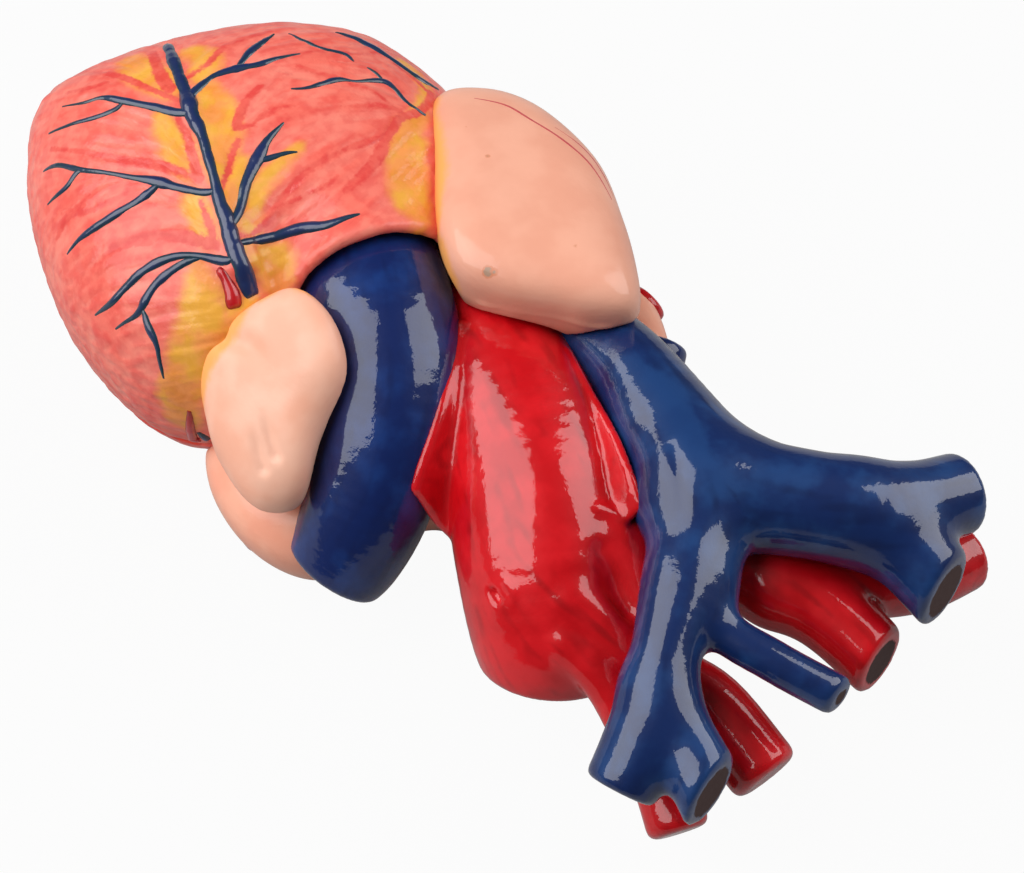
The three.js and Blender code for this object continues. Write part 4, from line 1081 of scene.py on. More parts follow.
CORAL = colour(253, 92, 80)
PALE_CORAL = colour(255, 126, 112)
DARK_BRUSH_MARK = colour(240, 66, 62)
LIGHT_BRUSH_MARK = colour(255, 148, 130)
FINE_DARK_MARK = colour(234, 56, 56)
FINE_LIGHT_MARK = colour(255, 156, 138)
FAT_YELLOW = colour(255, 214, 26)
FAT_AMBER = colour(252, 170, 10)
FAT_WASH = colour(255, 168, 84)
FAT_BLEED = colour(252, 172, 84)
RIM_ORANGE = colour(230, 56, 34)
STROKE_RED = colour(232, 20, 36)
LINING_RED = colour(214, 96, 84)
LINING_PALE = colour(232, 132, 112)
CHIP_EDGE = colour(214, 132, 96)
CHIP_BARE = colour(160, 140, 120)
SAWN_BROWN = colour(78, 60, 58)


class Wiring:
    """Short ways to add and link shader nodes."""

    def __init__(self, tree):
        self.tree = tree
        self.place = tree.nodes.new("ShaderNodeTexCoord").outputs["Object"]

    def link(self, source, target):
        if isinstance(source, (int, float, tuple)):
            target.default_value = source
        else:
            self.tree.links.new(source, target)

    def attribute(self, name):
        node = self.tree.nodes.new("ShaderNodeAttribute")
        node.attribute_name = name
        return node.outputs["Fac"]

    def math(self, operation, a, b=0.0, c=0.0):
        node = self.tree.nodes.new("ShaderNodeMath")
        node.operation = operation
        for value, socket in zip((a, b, c), node.inputs):
            self.link(value, socket)
        return node.outputs[0]

    def add(self, a, b):
        return self.math("ADD", a, b)

    def times(self, a, b):
        return self.math("MULTIPLY", a, b)

    def ramp(self, value, low, high, to_low=0.0, to_high=1.0):
        node = self.tree.nodes.new("ShaderNodeMapRange")
        node.interpolation_type = "SMOOTHSTEP"
        for socket, v in zip(node.inputs, (value, low, high, to_low, to_high)):
            self.link(v, socket)
        return node.outputs[0]

    def mix(self, share, a, b):
        node = self.tree.nodes.new("ShaderNodeMix")
        node.data_type = "RGBA"
        self.link(share, node.inputs[0])
        self.link(a, node.inputs[6])
        self.link(b, node.inputs[7])
        return node.outputs[2]

    def distance(self, centre):
        node = self.tree.nodes.new("ShaderNodeVectorMath")
        node.operation = "DISTANCE"
        self.link(self.place, node.inputs[0])
        self.link(centre, node.inputs[1])
        return node.outputs["Value"]

    def noise(self, size, detail=3.0):
        """Noise with features of about this size in millimetres."""
        node = self.tree.nodes.new("ShaderNodeTexNoise")
        node.inputs["Detail"].default_value = detail
        self.link(self.math("DIVIDE", 1 / MM, size), node.inputs["Scale"])
        self.link(self.place, node.inputs["Vector"])
        return node.outputs["Fac"]

    def group(self, tree, **values):
        """A shared effect, with its inputs given by name."""
        node = self.tree.nodes.new("ShaderNodeGroup")
        node.node_tree = tree
        for name, value in values.items():
            self.link(value, node.inputs[name.replace("_", " ").capitalize()])
        return node.outputs[0]


def effect(name, inputs, output):
    """An empty group with its named sockets, its wiring, and its two end nodes."""
    tree = bpy.data.node_groups.new(name, "ShaderNodeTree")
    for label, value in inputs.items():
        kind = "NodeSocketColor" if isinstance(value, tuple) else "NodeSocketFloat"
        tree.interface.new_socket(label, in_out="INPUT", socket_type=kind).default_value = value
    kind = "NodeSocketColor" if output == "Color" else "NodeSocketFloat"
    tree.interface.new_socket(output, in_out="OUTPUT", socket_type=kind)
    given = tree.nodes.new("NodeGroupInput").outputs
    result = tree.nodes.new("NodeGroupOutput").inputs[0]
    return tree, Wiring(tree), given, result


def cloudy_tone():
    """Two tones of the same paint, in clouds of a given size; the share is the second tone's."""
    inputs = {"Tone": (0.5, 0.5, 0.5, 1), "Second tone": (0.5, 0.5, 0.5, 1), "Size": 10.0, "Share": 0.5}
    tree, wiring, given, result = effect("cloudy_tone", inputs, "Color")
    cloud = wiring.noise(given["Size"], 3)
    middle = wiring.math("MULTIPLY_ADD", given["Share"], -0.3, 0.65)
    mask = wiring.ramp(wiring.math("SUBTRACT", cloud, middle), -0.13, 0.13)
    wiring.link(wiring.mix(mask, given["Tone"], given["Second tone"]), result)
    return tree


def ragged_edge():
    """The mask of a painted patch whose edge wanders as a brush leaves it."""
    inputs = {"Margin": 0.0, "Wander": 0.5, "Grain": 1.0, "Softness": 0.3}
    tree, wiring, given, result = effect("ragged_edge", inputs, "Mask")
    wander = wiring.math("MULTIPLY_ADD", wiring.noise(given["Grain"], 3), 2.0, -1.0)
    margin = wiring.math("MULTIPLY_ADD", wander, given["Wander"], given["Margin"])
    share = wiring.math("DIVIDE", margin, given["Softness"])
    wiring.link(wiring.ramp(share, -1, 1), result)
    return tree


def brush_relief():
    """The height of brush marks and of the small grain in the lacquer."""
    inputs = {"Streak": 0.0, "Streak share": 0.5, "Grain": 0.8}
    tree, wiring, given, result = effect("brush_relief", inputs, "Height")
    grain = wiring.noise(given["Grain"], 2)
    wiring.link(wiring.math("MULTIPLY_ADD", given["Streak"], given["Streak share"], grain), result)
    return tree


CLOUDY = cloudy_tone()
RAGGED = ragged_edge()
BRUSHED = brush_relief()


class Paint(Wiring):
    """A lacquered painted finish."""

    def __init__(self, name, roughness=0.45, specular=0.3, coat=1.0, coat_roughness=0.04):
        self.material = bpy.data.materials.new(name)
        self.material.use_nodes = True
        super().__init__(self.material.node_tree)
        self.shader = self.tree.nodes["Principled BSDF"]
        self.shader.inputs["Roughness"].default_value = roughness
        self.shader.inputs["Specular IOR Level"].default_value = specular
        self.shader.inputs["Coat Weight"].default_value = coat
        self.shader.inputs["Coat IOR"].default_value = LACQUER_IOR
        self.shader.inputs["Coat Roughness"].default_value = coat_roughness

    def finish(self, base, height, depth):
        """The colour, and a bump of a given depth in millimetres."""
        self.link(base, self.shader.inputs["Base Color"])
        bump = self.tree.nodes.new("ShaderNodeBump")
        bump.inputs["Distance"].default_value = depth * MM
        self.link(height, bump.inputs["Height"])
        self.link(bump.outputs["Normal"], self.shader.inputs["Normal"])
        self.link(bump.outputs["Normal"], self.shader.inputs["Coat Normal"])
        return self.material


# Materials

def muscle_paint():
    """Coral muscle with yellow fat and dark red brush strokes."""
    paint = Paint("painted_muscle", roughness=0.5, specular=0.2, coat=0.4, coat_roughness=0.12)
    streak = paint.attribute("streak")
    fine = paint.attribute("fine_streak")
    base = paint.group(CLOUDY, tone=CORAL, second_tone=PALE_CORAL, size=11.0, share=0.45)
    base = paint.mix(paint.ramp(streak, 0.1, 1.3, 0, 0.85), base, DARK_BRUSH_MARK)
    base = paint.mix(paint.ramp(streak, 0.0, -1.2, 0, 0.6), base, LIGHT_BRUSH_MARK)
    base = paint.mix(paint.ramp(fine, 0.35, 1.1, 0, 0.4), base, FINE_DARK_MARK)
    base = paint.mix(paint.ramp(fine, -0.35, -1.1, 0, 0.35), base, FINE_LIGHT_MARK)
    fat_margin = paint.math("MULTIPLY_ADD", streak, 0.5, paint.attribute("fat"))
    fat = paint.group(CLOUDY, tone=FAT_YELLOW, second_tone=FAT_AMBER, size=6.0, share=0.5)
    wash = paint.group(RAGGED, margin=fat_margin, wander=0.9, grain=1.4, softness=2.8)
    base = paint.mix(paint.times(wash, 0.7), base, FAT_WASH)
    covered = paint.add(fat_margin, 0.5)
    yellow = paint.group(RAGGED, margin=covered, wander=0.6, grain=1.1, softness=1.5)
    base = paint.mix(yellow, base, fat)
    rim = paint.group(RAGGED, margin=paint.attribute("rim"), wander=0.6, grain=1.5, softness=0.6)
    base = paint.mix(paint.times(rim, 0.85), base, RIM_ORANGE)
    red_margin = paint.math("MULTIPLY_ADD", fine, 0.35, paint.attribute("red_stroke"))
    red_margin = paint.add(red_margin, 0.15)
    red = paint.group(RAGGED, margin=red_margin, wander=0.6, grain=0.9, softness=0.4)
    base = paint.mix(paint.times(red, 0.95), base, STROKE_RED)
    inner = paint.group(CLOUDY, tone=LINING_RED, second_tone=LINING_PALE, size=3.0, share=0.5)
    base = paint.mix(paint.ramp(paint.attribute("lining"), -0.2, 0.2), base, inner)
    height = paint.group(BRUSHED, streak=fine, streak_share=1.0, grain=0.9)
    return paint.finish(base, height, 0.06)


def auricle_paint(name, tone, second_tone, coat, coat_roughness):
    """Flesh tone with the fat's yellow run over its edge and small chips in the lacquer."""
    paint = Paint(name, roughness=0.5, specular=0.2, coat=coat, coat_roughness=coat_roughness)
    base = paint.group(CLOUDY, tone=tone, second_tone=second_tone, size=14.0, share=0.5)
    bleed = paint.group(RAGGED, margin=paint.attribute("fat"), wander=0.8, grain=1.6, softness=1.3)
    base = paint.mix(paint.times(bleed, 0.85), base, FAT_BLEED)
    for x, y, z, radius in AURICLE_CHIPS:
        centre = tuple((np.array((x, y, z)) + DRAWING_PLACE) * MM)
        margin = paint.math("MULTIPLY_ADD", paint.distance(centre), -1 / MM, radius)
        wide = paint.add(margin, 0.2)
        edge = paint.group(RAGGED, margin=wide, wander=0.25, grain=0.6, softness=0.15)
        base = paint.mix(paint.times(edge, 0.7), base, CHIP_EDGE)
        narrow = paint.add(margin, -0.15)
        bare = paint.group(RAGGED, margin=narrow, wander=0.3, grain=0.5, softness=0.12)
        base = paint.mix(paint.times(bare, 0.8), base, CHIP_BARE)
    height = paint.group(BRUSHED, streak=paint.attribute("streak"), streak_share=0.3, grain=1.1)
    return paint.finish(base, height, 0.045)


def vessel_paint(name, tone, dark, light, share=0.35):
    """Vessel colour in long brush marks, with paler patches of painted reflection and the bare brown disc
    on a sawn end.
    """
    paint = Paint(name, specular=0.15, coat_roughness=0.03)
    streak = paint.attribute("streak")
    base = paint.group(CLOUDY, tone=tone, second_tone=light, size=9.0, share=share)
    base = paint.mix(paint.ramp(streak, 0.0, 1.6, 0, 0.6), base, dark)
    # Paler patches in the light tone are a painted reflection
    worn = paint.group(RAGGED, margin=paint.attribute("worn"), wander=1.1, grain=2.2, softness=0.8)
    base = paint.mix(paint.times(worn, 0.75), base, light)
    hole = paint.group(RAGGED, margin=paint.attribute("lumen"), wander=0.6, grain=1.2, softness=0.25)
    base = paint.mix(hole, base, SAWN_BROWN)
    paint.link(paint.math("SUBTRACT", 1.0, hole), paint.shader.inputs["Coat Weight"])
    paint.link(paint.math("MULTIPLY_ADD", hole, 0.35, 0.45), paint.shader.inputs["Roughness"])
    height = paint.group(BRUSHED, streak=streak, streak_share=0.4, grain=0.9)
    return paint.finish(base, height, 0.03)


def cord_paint(name, side, crest, low, high):
    """A raised vessel whose sides turn to the crest's tone between two heights over the wall."""
    paint = Paint(name, coat_roughness=0.05)
    lift = paint.math("MULTIPLY_ADD", paint.noise(2.5, 3), 0.5, paint.attribute("lift"))
    base = paint.mix(paint.ramp(lift, low, high), side, crest)
    height = paint.group(BRUSHED, streak=paint.noise(0.5, 2), streak_share=0.4, grain=0.9)
    return paint.finish(base, height, 0.04)


def plain_paint(name, tone, second_tone, size=4.0, **finish):
    """One colour in two close tones, in small brush marks."""
    paint = Paint(name, **finish)
    base = paint.group(CLOUDY, tone=tone, second_tone=second_tone, size=size, share=0.5)
    height = paint.group(BRUSHED, streak=paint.noise(size, 2), streak_share=0.5, grain=0.8)
    return paint.finish(base, height, 0.04)


def steel():
    """Bare metal of the magnets and pins."""
    paint = Paint("bright_steel", roughness=0.3, specular=0.5, coat=0.0)
    paint.shader.inputs["Metallic"].default_value = 1
    bright = colour(196, 198, 202)
    dull = colour(160, 164, 170)
    base = paint.group(CLOUDY, tone=bright, second_tone=dull, size=1.0, share=0.5)
    return paint.finish(base, paint.noise(0.6, 2), 0.01)


MUSCLE = muscle_paint()
RIGHT_FLESH = auricle_paint(
    "right_auricle_flesh", colour(240, 174, 148), colour(234, 164, 138), coat=0.5, coat_roughness=0.1,
)
# The left auricle has the same flesh as the right one, painted paler: the paler tone is painted light from
# the lamp on the left
LEFT_FLESH_PAINTED_LIGHT = auricle_paint(
    "left_auricle_flesh", colour(252, 194, 168), colour(246, 178, 150), coat=0.25, coat_roughness=0.25,
)
ARTERY = vessel_paint("artery_red", colour(194, 4, 16), colour(146, 2, 10), colour(214, 18, 28))
VEIN = vessel_paint("vein_blue", colour(14, 38, 88), colour(8, 24, 66), colour(26, 60, 112))
TRUNK = vessel_paint("trunk_navy", colour(10, 32, 88), colour(8, 22, 70), colour(18, 50, 112))
CORONARY_VEIN = cord_paint("coronary_navy", colour(16, 54, 62), colour(22, 40, 88), low=0.2, high=0.9)
LOBE_LINE = cord_paint("lobe_line_red", colour(204, 84, 84), colour(196, 70, 78), low=0.1, high=0.4)
# The red cords turn from a darker red at their sides to a brighter red on the crest: painted shade and
# painted highlight on a round tube
CORONARY_ARTERY = cord_paint("coronary_red", colour(140, 6, 12), colour(186, 12, 20), low=0.3, high=0.9)
CHAMBER = plain_paint("chamber_lining", colour(228, 122, 104), colour(240, 160, 136))
ATRIUM = plain_paint(
    "atrium_salmon", colour(246, 176, 148), colour(242, 164, 136), size=10.0, coat=0.4, coat_roughness=0.15,
)
VALVE = plain_paint("valve_cream", colour(240, 216, 188), colour(226, 186, 154), size=2.0)
STEEL = steel()


# Pieces

def add_object(name, data):
    """A new object in the scene."""
    item = bpy.data.objects.new(name, data)
    bpy.context.scene.collection.objects.link(item)
    return item


def finished_mesh(item):
    """The mesh that an object's modifiers make."""
    return bpy.data.meshes.new_from_object(item.evaluated_get(bpy.context.evaluated_depsgraph_get()))


def place_piece(mesh, name, body, nodes):
    """An object for a finished mesh, riding on its body."""
    piece = add_object(name, mesh)
    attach(piece, body)
    if nodes:
        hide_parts(*nodes)
    return piece


def surface_mesh(name, surface, material=None):
    """A mesh in metres in the model's frame, with its paint values."""
    mesh = bpy.data.meshes.new(name)
    placed = (surface.points + DRAWING_PLACE) * MM
    tidy = [tuple(dict.fromkeys(face)) for face in surface.faces.tolist()]
    mesh.from_pydata(placed.tolist(), [], tidy)
    for key, values in surface.paint.items():
        layer = mesh.attributes.new(key, "FLOAT", "POINT")
        layer.data.foreach_set("value", np.asarray(values, np.float32))
    mesh.shade_smooth()
    if material is not None:
        mesh.materials.append(material)
    return mesh


def thinned(mesh, attribute, ratio):
    """Fewer faces where a paint value is well above zero."""
    keeper = add_object(mesh.name + "_thinned", mesh)
    group = keeper.vertex_groups.new(name=attribute)
    values = np.empty(len(mesh.vertices), np.float32)
    mesh.attributes[attribute].data.foreach_get("value", values)
    well_inside = 0.5
    group.add(np.flatnonzero(values > well_inside).tolist(), 1.0, "REPLACE")
    modifier = keeper.modifiers.new("thin", "DECIMATE")
    modifier.vertex_group = attribute
    modifier.ratio = ratio
    thin = finished_mesh(keeper)
    thin.name = mesh.name
    bpy.data.objects.remove(keeper)
    return thin


def softened_copy(name, node, grain, rounds, material, body):
    """A rounded piece in the place of an angular solid."""
    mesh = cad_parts[node].data.copy()
    mesh.materials.clear()
    rough = add_object(name + "_rough", mesh)
    weld = rough.modifiers.new("weld", "WELD")
    weld.merge_threshold = 0.001 * MM
    remesh = rough.modifiers.new("remesh", "REMESH")
    remesh.mode = "VOXEL"
    remesh.voxel_size = grain * MM
    ease = rough.modifiers.new("ease", "SMOOTH")
    ease.factor = 0.5
    ease.iterations = rounds
    shape = finished_mesh(rough)
    shape.name = name
    bpy.data.objects.remove(rough)
    shape.shade_smooth()
    shape.materials.clear()
    shape.materials.append(material)
    return place_piece(shape, name, body, [node])


# Raised coronary vessels that follow the wall

def raised_cord():
    """Tubes along the edges of a drawn line, laid on a wall and sunk into it."""
    tree = bpy.data.node_groups.new("raised_cord", "GeometryNodeTree")
    sockets = {
        "Geometry": "NodeSocketGeometry", "Wall": "NodeSocketObject", "Spacing": "NodeSocketFloat",
        "Relief": "NodeSocketFloat", "Unevenness": "NodeSocketFloat", "Seed": "NodeSocketInt",
        "Sides": "NodeSocketInt", "Finish": "NodeSocketMaterial",
    }
    for label, kind in sockets.items():
        tree.interface.new_socket(label, in_out="INPUT", socket_type=kind)
    tree.interface.new_socket("Geometry", in_out="OUTPUT", socket_type="NodeSocketGeometry")

    def node(kind, inputs=(), **settings):
        item = tree.nodes.new(kind)
        for key, value in settings.items():
            setattr(item, key, value)
        for label, value in dict(inputs).items():
            socket = item.inputs[label]
            if isinstance(value, bpy.types.NodeSocket):
                tree.links.new(value, socket)
            else:
                socket.default_value = value
        return item

    given = node("NodeGroupInput").outputs
    wavers_per_metre = 240.0

    def on_wall(position):
        """The nearest place on the wall, how far it is, and the wall's outward way there."""
        wall = node("GeometryNodeObjectInfo", {"Object": given["Wall"]}, transform_space="RELATIVE")
        wall = wall.outputs["Geometry"]
        nearest = node("GeometryNodeProximity", {
            0: wall, "Source Position": position,
        }, target_element="FACES")
        way = node("GeometryNodeSampleNearestSurface", {
            "Mesh": wall, "Value": node("GeometryNodeInputNormal").outputs[0],
            "Sample Position": nearest.outputs["Position"],
        }, data_type="FLOAT_VECTOR")
        return nearest.outputs["Position"], nearest.outputs["Distance"], way.outputs["Value"]

    line = node("GeometryNodeMeshToCurve", {"Mesh": given["Geometry"]}).outputs[0]
    line = node("GeometryNodeCurveSplineType", {"Curve": line}, spline_type="CATMULL_ROM").outputs[0]
    line = node("GeometryNodeResampleCurve", {
        "Curve": line, "Length": given["Spacing"],
    }, mode="LENGTH").outputs[0]
    place, _, way = on_wall(node("GeometryNodeInputPosition").outputs[0])
    line = node("GeometryNodeSetPosition", {"Geometry": line, "Position": place}).outputs[0]
    even = node("GeometryNodeBlurAttribute", {
        "Value": node("GeometryNodeInputPosition").outputs[0], "Iterations": 3,
    }, data_type="FLOAT_VECTOR").outputs["Value"]
    line = node("GeometryNodeSetPosition", {"Geometry": line, "Position": even}).outputs[0]
    width = node("GeometryNodeInputNamedAttribute", {"Name": "half_width"}, data_type="FLOAT")
    width = width.outputs[0]
    sunk = node("ShaderNodeMath", {0: given["Relief"], 1: 1.0}, operation="SUBTRACT").outputs[0]
    sunk = node("ShaderNodeMath", {0: sunk, 1: width}, operation="MULTIPLY").outputs[0]
    offset = node("ShaderNodeVectorMath", {0: way, "Scale": sunk}, operation="SCALE").outputs[0]
    line = node("GeometryNodeSetPosition", {"Geometry": line, "Offset": offset}).outputs[0]
    noise = node("ShaderNodeTexNoise", {
        "W": given["Seed"], "Scale": wavers_per_metre, "Detail": 2.0,
    }, noise_dimensions="4D")
    change = node("ShaderNodeMath", {0: noise.outputs[0], 1: 0.5}, operation="SUBTRACT").outputs[0]
    change = node("ShaderNodeMath", {
        0: change, 1: given["Unevenness"], 2: 1.0,
    }, operation="MULTIPLY_ADD").outputs[0]
    radius = node("ShaderNodeMath", {0: width, 1: change}, operation="MULTIPLY").outputs[0]
    section = node("GeometryNodeCurvePrimitiveCircle", {
        "Resolution": given["Sides"], "Radius": 1.0,
    }).outputs[0]
    tube = node("GeometryNodeCurveToMesh", {
        "Curve": line, "Profile Curve": section, "Scale": radius, "Fill Caps": True,
    }).outputs[0]
    _, lift, _ = on_wall(node("GeometryNodeInputPosition").outputs[0])
    lift = node("ShaderNodeMath", {0: lift, 1: 1 / MM}, operation="MULTIPLY").outputs[0]
    tube = node("GeometryNodeStoreNamedAttribute", {
        "Geometry": tube, "Name": "lift", "Value": lift,
    }, data_type="FLOAT", domain="POINT").outputs[0]
    tube = node("GeometryNodeSetShadeSmooth", {"Geometry": tube}).outputs[0]
    tube = node("GeometryNodeRealizeInstances", {"Geometry": tube}).outputs[0]
    tube = node("GeometryNodeSetMaterial", {"Geometry": tube, "Material": given["Finish"]}).outputs[0]
    node("NodeGroupOutput", {"Geometry": tube})
    return tree


def lay_cords(name, strokes, wall, tree, finish, relief, seed, thickness=1.0):
    """The raised vessels of one kind as one piece on the front wall."""
    points = []
    edges = []
    widths = []
    for stroke in strokes.values():
        first = len(points)
        points += [tuple((np.array(p[:3]) + DRAWING_PLACE) * MM) for p in stroke]
        widths += [p[3] * thickness * MM for p in stroke]
        edges += [(i, i + 1) for i in range(first, len(points) - 1)]
    drawn = bpy.data.meshes.new(name + "_drawn")
    drawn.from_pydata(points, edges, [])
    drawn.attributes.new("half_width", "FLOAT", "POINT").data.foreach_set("value", widths)
    maker = add_object(name + "_drawn", drawn)
    modifier = maker.modifiers.new("raised_cord", "NODES")
    modifier.node_group = tree
    values = {
        "Wall": wall, "Spacing": 0.4 * MM, "Relief": relief, "Unevenness": 0.45, "Seed": seed,
        "Sides": 12, "Finish": finish,
    }
    for item in tree.interface.items_tree:
        if item.in_out == "INPUT" and item.name in values:
            modifier[item.identifier] = values[item.name]
    mesh = finished_mesh(maker)
    maker.modifiers.remove(modifier)
    bpy.data.objects.remove(maker)
    bpy.data.meshes.remove(drawn)
    mesh.name = name
    return place_piece(mesh, name, "front_wall", [])


# Front wall with the auricles

MUSCLE_GUIDES = [np.array(stroke)[:, :3] for stroke in RED_STROKES.values()]
# The brush marks on the auricles follow the first strokes only, most of them on the left
AURICLE_GUIDES = MUSCLE_GUIDES[:12]


def leave_room_for_vessels(block):
    """Cuts away what would catch on the rear vessels when the front is lifted."""
    for stations, gap in ((PULMONARY_TRUNK, ROOT_GAP), (AORTA, LIFT_GAP), (VENA_CAVA, LIFT_GAP)):
        block.cut(Vessel(stations, gap, longer=gap, sawn=(True, True)), CUT_RIM)
        block.cut(Below(stations, gap, gap + LIFT_ROOM), CUT_RIM)


def paint_muscle(surface, front):
    """Stroke, fat and brush values for the muscle."""
    points = surface.points
    lining_depth = 2.5
    depth = Pillow(VENTRICLES, -lining_depth).distance(*points.T)
    surface.paint["lining"] = np.clip(-depth, -2, 2)
    surface.paint["rim"] = stroke_margin(points, RIM_BAND, limit=3)
    surface.paint["fat"] = stroke_margin(points, FAT_PATCHES if front else {}, limit=6)
    surface.paint["red_stroke"] = stroke_margin(points, RED_STROKES if front else {}, limit=2)
    ways = fibre_directions(points, MUSCLE_GUIDES)
    surface.paint["streak"] = brushed(points, ways, length=6, cell=1.6, seed=3)
    surface.paint["fine_streak"] = brushed(points, ways, length=5, cell=0.9, seed=5)
    outside = np.clip(depth, 0, 1)
    relief = BRUSH_RELIEF * outside * surface.paint["streak"]
    surface.points = points + surface.normals() * relief[:, None]
    surface.points[:, 2] = np.maximum(surface.points[:, 2], 0)


def make_front_wall():
    """The hollow front half of the ventricles with the sleeve round the pulmonary trunk."""
    block = Block((*VENTRICLES_LOW, SEAM_HEIGHT - 2), (*VENTRICLES_HIGH, FRONT_TOP), WALL_GRAIN)
    block.add(Pillow(VENTRICLES))
    block.add(Vessel(OUTFLOW_TRACT, rim=OUTFLOW_RIM), OUTFLOW_FLARE)
    block.add(Vessel(VEIN_RIDGE, sawn=(False, False)), RIDGE_FLARE)
    block.cut(Pillow(VENTRICLES, -MUSCLE_WALL), CHAMBER_RIM)
    block.cut(Vessel(OUTFLOW_TRACT, -OUTFLOW_LIP, longer=2 * OUTFLOW_LIP), SLEEVE_RIM)
    leave_room_for_vessels(block)
    block.keep(Level(SEAM_HEIGHT + SEAM_GAP / 2), SEAM_RIM)
    surface = moulded(block, rounds=5)
    surface.sculpt(FRONT_WALL_FOLDS)
    paint_muscle(surface, front=True)
    return surface


def make_auricle(shape, folds, neighbours):
    """One auricle, let a little way into the muscle."""
    outline = np.array(shape["outline"], float)
    low = [*(outline.min(0) - 3), AURICLE_SEAM_HEIGHT - 2]
    high = [*(outline.max(0) + 3), AURICLE_TOP]
    block = Block(low, high, AURICLE_GRAIN)
    block.add(Pillow(shape))
    block.keep(Level(AURICLE_SEAM_HEIGHT), AURICLE_FOOT_RIM)
    block.cut(Pillow(VENTRICLES, -AURICLE_SET_IN))
    for neighbour in neighbours:
        block.cut(Pillow(neighbour), NEIGHBOUR_RIM, LIFT_GAP)
    leave_room_for_vessels(block)
    surface = moulded(block)
    surface.sculpt(folds)
    points = surface.points
    surface.paint["fat"] = stroke_margin(points, FAT_PATCHES, limit=6)
    ways = fibre_directions(points, AURICLE_GUIDES)
    surface.paint["streak"] = brushed(points, ways, length=4, cell=1.8, seed=8)
    return surface


front = make_front_wall()
right_lobe = make_auricle(RIGHT_AURICLE, RIGHT_AURICLE_FOLDS, [])
left_lobe = make_auricle(LEFT_AURICLE, LEFT_AURICLE_FOLDS, [LEFT_ATRIUM])
front_mesh = thinned(surface_mesh("front_wall_shell", front, MUSCLE), "lining", LINING_SHARE)
place_piece(front_mesh, "front_wall_shell", "front_wall", ["front_wall"])
for node, lobe, finish in (
    ("right_auricle", right_lobe, RIGHT_FLESH),
    ("left_auricle", left_lobe, LEFT_FLESH_PAINTED_LIGHT),
):
    name = node + "_lobe"
    place_piece(surface_mesh(name, lobe, finish), name, "front_wall", [node])


def underlay(name, *surfaces):
    """A hidden wall for the cords to lie on."""
    points = np.concatenate([surface.points for surface in surfaces])
    starts = np.cumsum([0] + [len(surface.points) for surface in surfaces])
    faces = np.concatenate([surface.faces + start for surface, start in zip(surfaces, starts)])
    return add_object(name, surface_mesh(name, Surface(points, faces)))


cord_tree = raised_cord()
wall = underlay("cord_underlay", front, left_lobe)
lay_cords(
    "coronary_veins", FRONT_VEINS, wall, cord_tree, CORONARY_VEIN,
    relief=0.4, seed=11, thickness=1.3,
)
lay_cords(
    "coronary_arteries", FRONT_ARTERIES, wall, cord_tree, CORONARY_ARTERY,
    relief=0.6, seed=12, thickness=1.1,
)
bpy.data.objects.remove(wall)
wall = underlay("lobe_underlay", right_lobe)
lay_cords("auricle_lines", LOBE_LINES, wall, cord_tree, LOBE_LINE, relief=0.25, seed=13)
bpy.data.objects.remove(wall)


# Rear shell and atria

def make_rear_wall():
    """The hollow rear half of the ventricles, flat where it lies on the floor."""
    high = (*VENTRICLES_HIGH, SEAM_HEIGHT + 2)
    block = Block((*VENTRICLES_LOW, -1), high, REAR_WALL_GRAIN)
    block.add(Pillow(VENTRICLES))
    block.cut(Pillow(VENTRICLES, -MUSCLE_WALL), CHAMBER_RIM)
    block.keep(Level(RESTING_GAP), REAR_FOOT_RIM)
    block.keep(Level(SEAM_HEIGHT - SEAM_GAP / 2, above=False), SEAM_RIM)
    surface = moulded(block, rounds=3)
    paint_muscle(surface, front=False)
    return surface


rear_mesh = surface_mesh("rear_wall_shell", make_rear_wall(), MUSCLE)
place_piece(rear_mesh, "rear_wall_shell", "heart_base", ["rear_shell"])

atria = mould_forms(
    [
        (Pillow(LEFT_ATRIUM), 0),
        (Pillow(RIGHT_ATRIUM), SHOULDER_FLARE),
        (Vessel(ATRIUM_SHOULDER, sawn=(False, False)), BRANCH_FLARE),
    ],
    ATRIA_GRAIN,
    [(Pillow(VENTRICLES), SEAM_RIM, SEAM_GAP), (Pillow(RIGHT_AURICLE), SEAM_RIM, LIFT_GAP)],
)
place_piece(
    surface_mesh("atria_shell", atria, ATRIUM), "atria_shell", "heart_base",
    ["left_atrium", "right_atrium"],
)


# Vessels

def paint_vessel(surface, ends, guides, seed, worn=None):
    """Brush marks along the guides, patches of painted reflection, and the bare discs on the sawn ends."""
    points = surface.points
    surface.paint["lumen"] = lumen_margin(points, ends)
    ways = fibre_directions(points, guides)
    surface.paint["streak"] = brushed(points, ways, length=5, cell=1.4, seed=seed)
    surface.paint["worn"] = stroke_margin(points, worn or {}, limit=4)


arteries = mould_forms([
    (Vessel(AORTA), 0),
    (Vessel(ARCH_SHOULDER, sawn=(False, False)), SHOULDER_FLARE),
    *[(rod, TRUNK_WEB_FLARE) for rod in web(WEB_TO_PULMONARY_TRUNK, WEB_THICKNESS)],
    *[(rod, CAVA_WEB_FLARE) for rod in web(WEB_TO_VENA_CAVA, WEB_THICKNESS)],
    (Vessel(BRACHIOCEPHALIC_ARTERY, saw_way=SAWN_ACROSS), GREAT_BRANCH_FLARE),
    (Vessel(RIGHT_SUBCLAVIAN_ARTERY), BRANCH_FLARE),
    (Vessel(LEFT_CAROTID_ARTERY, rim=ARCH_BRANCH_RIM), ARCH_BRANCH_FLARE),
    (Vessel(LEFT_SUBCLAVIAN_ARTERY, rim=ARCH_BRANCH_RIM), ARCH_BRANCH_FLARE),
], VESSEL_GRAIN, rounds=3)
arteries.sculpt(AORTA_FOLDS)
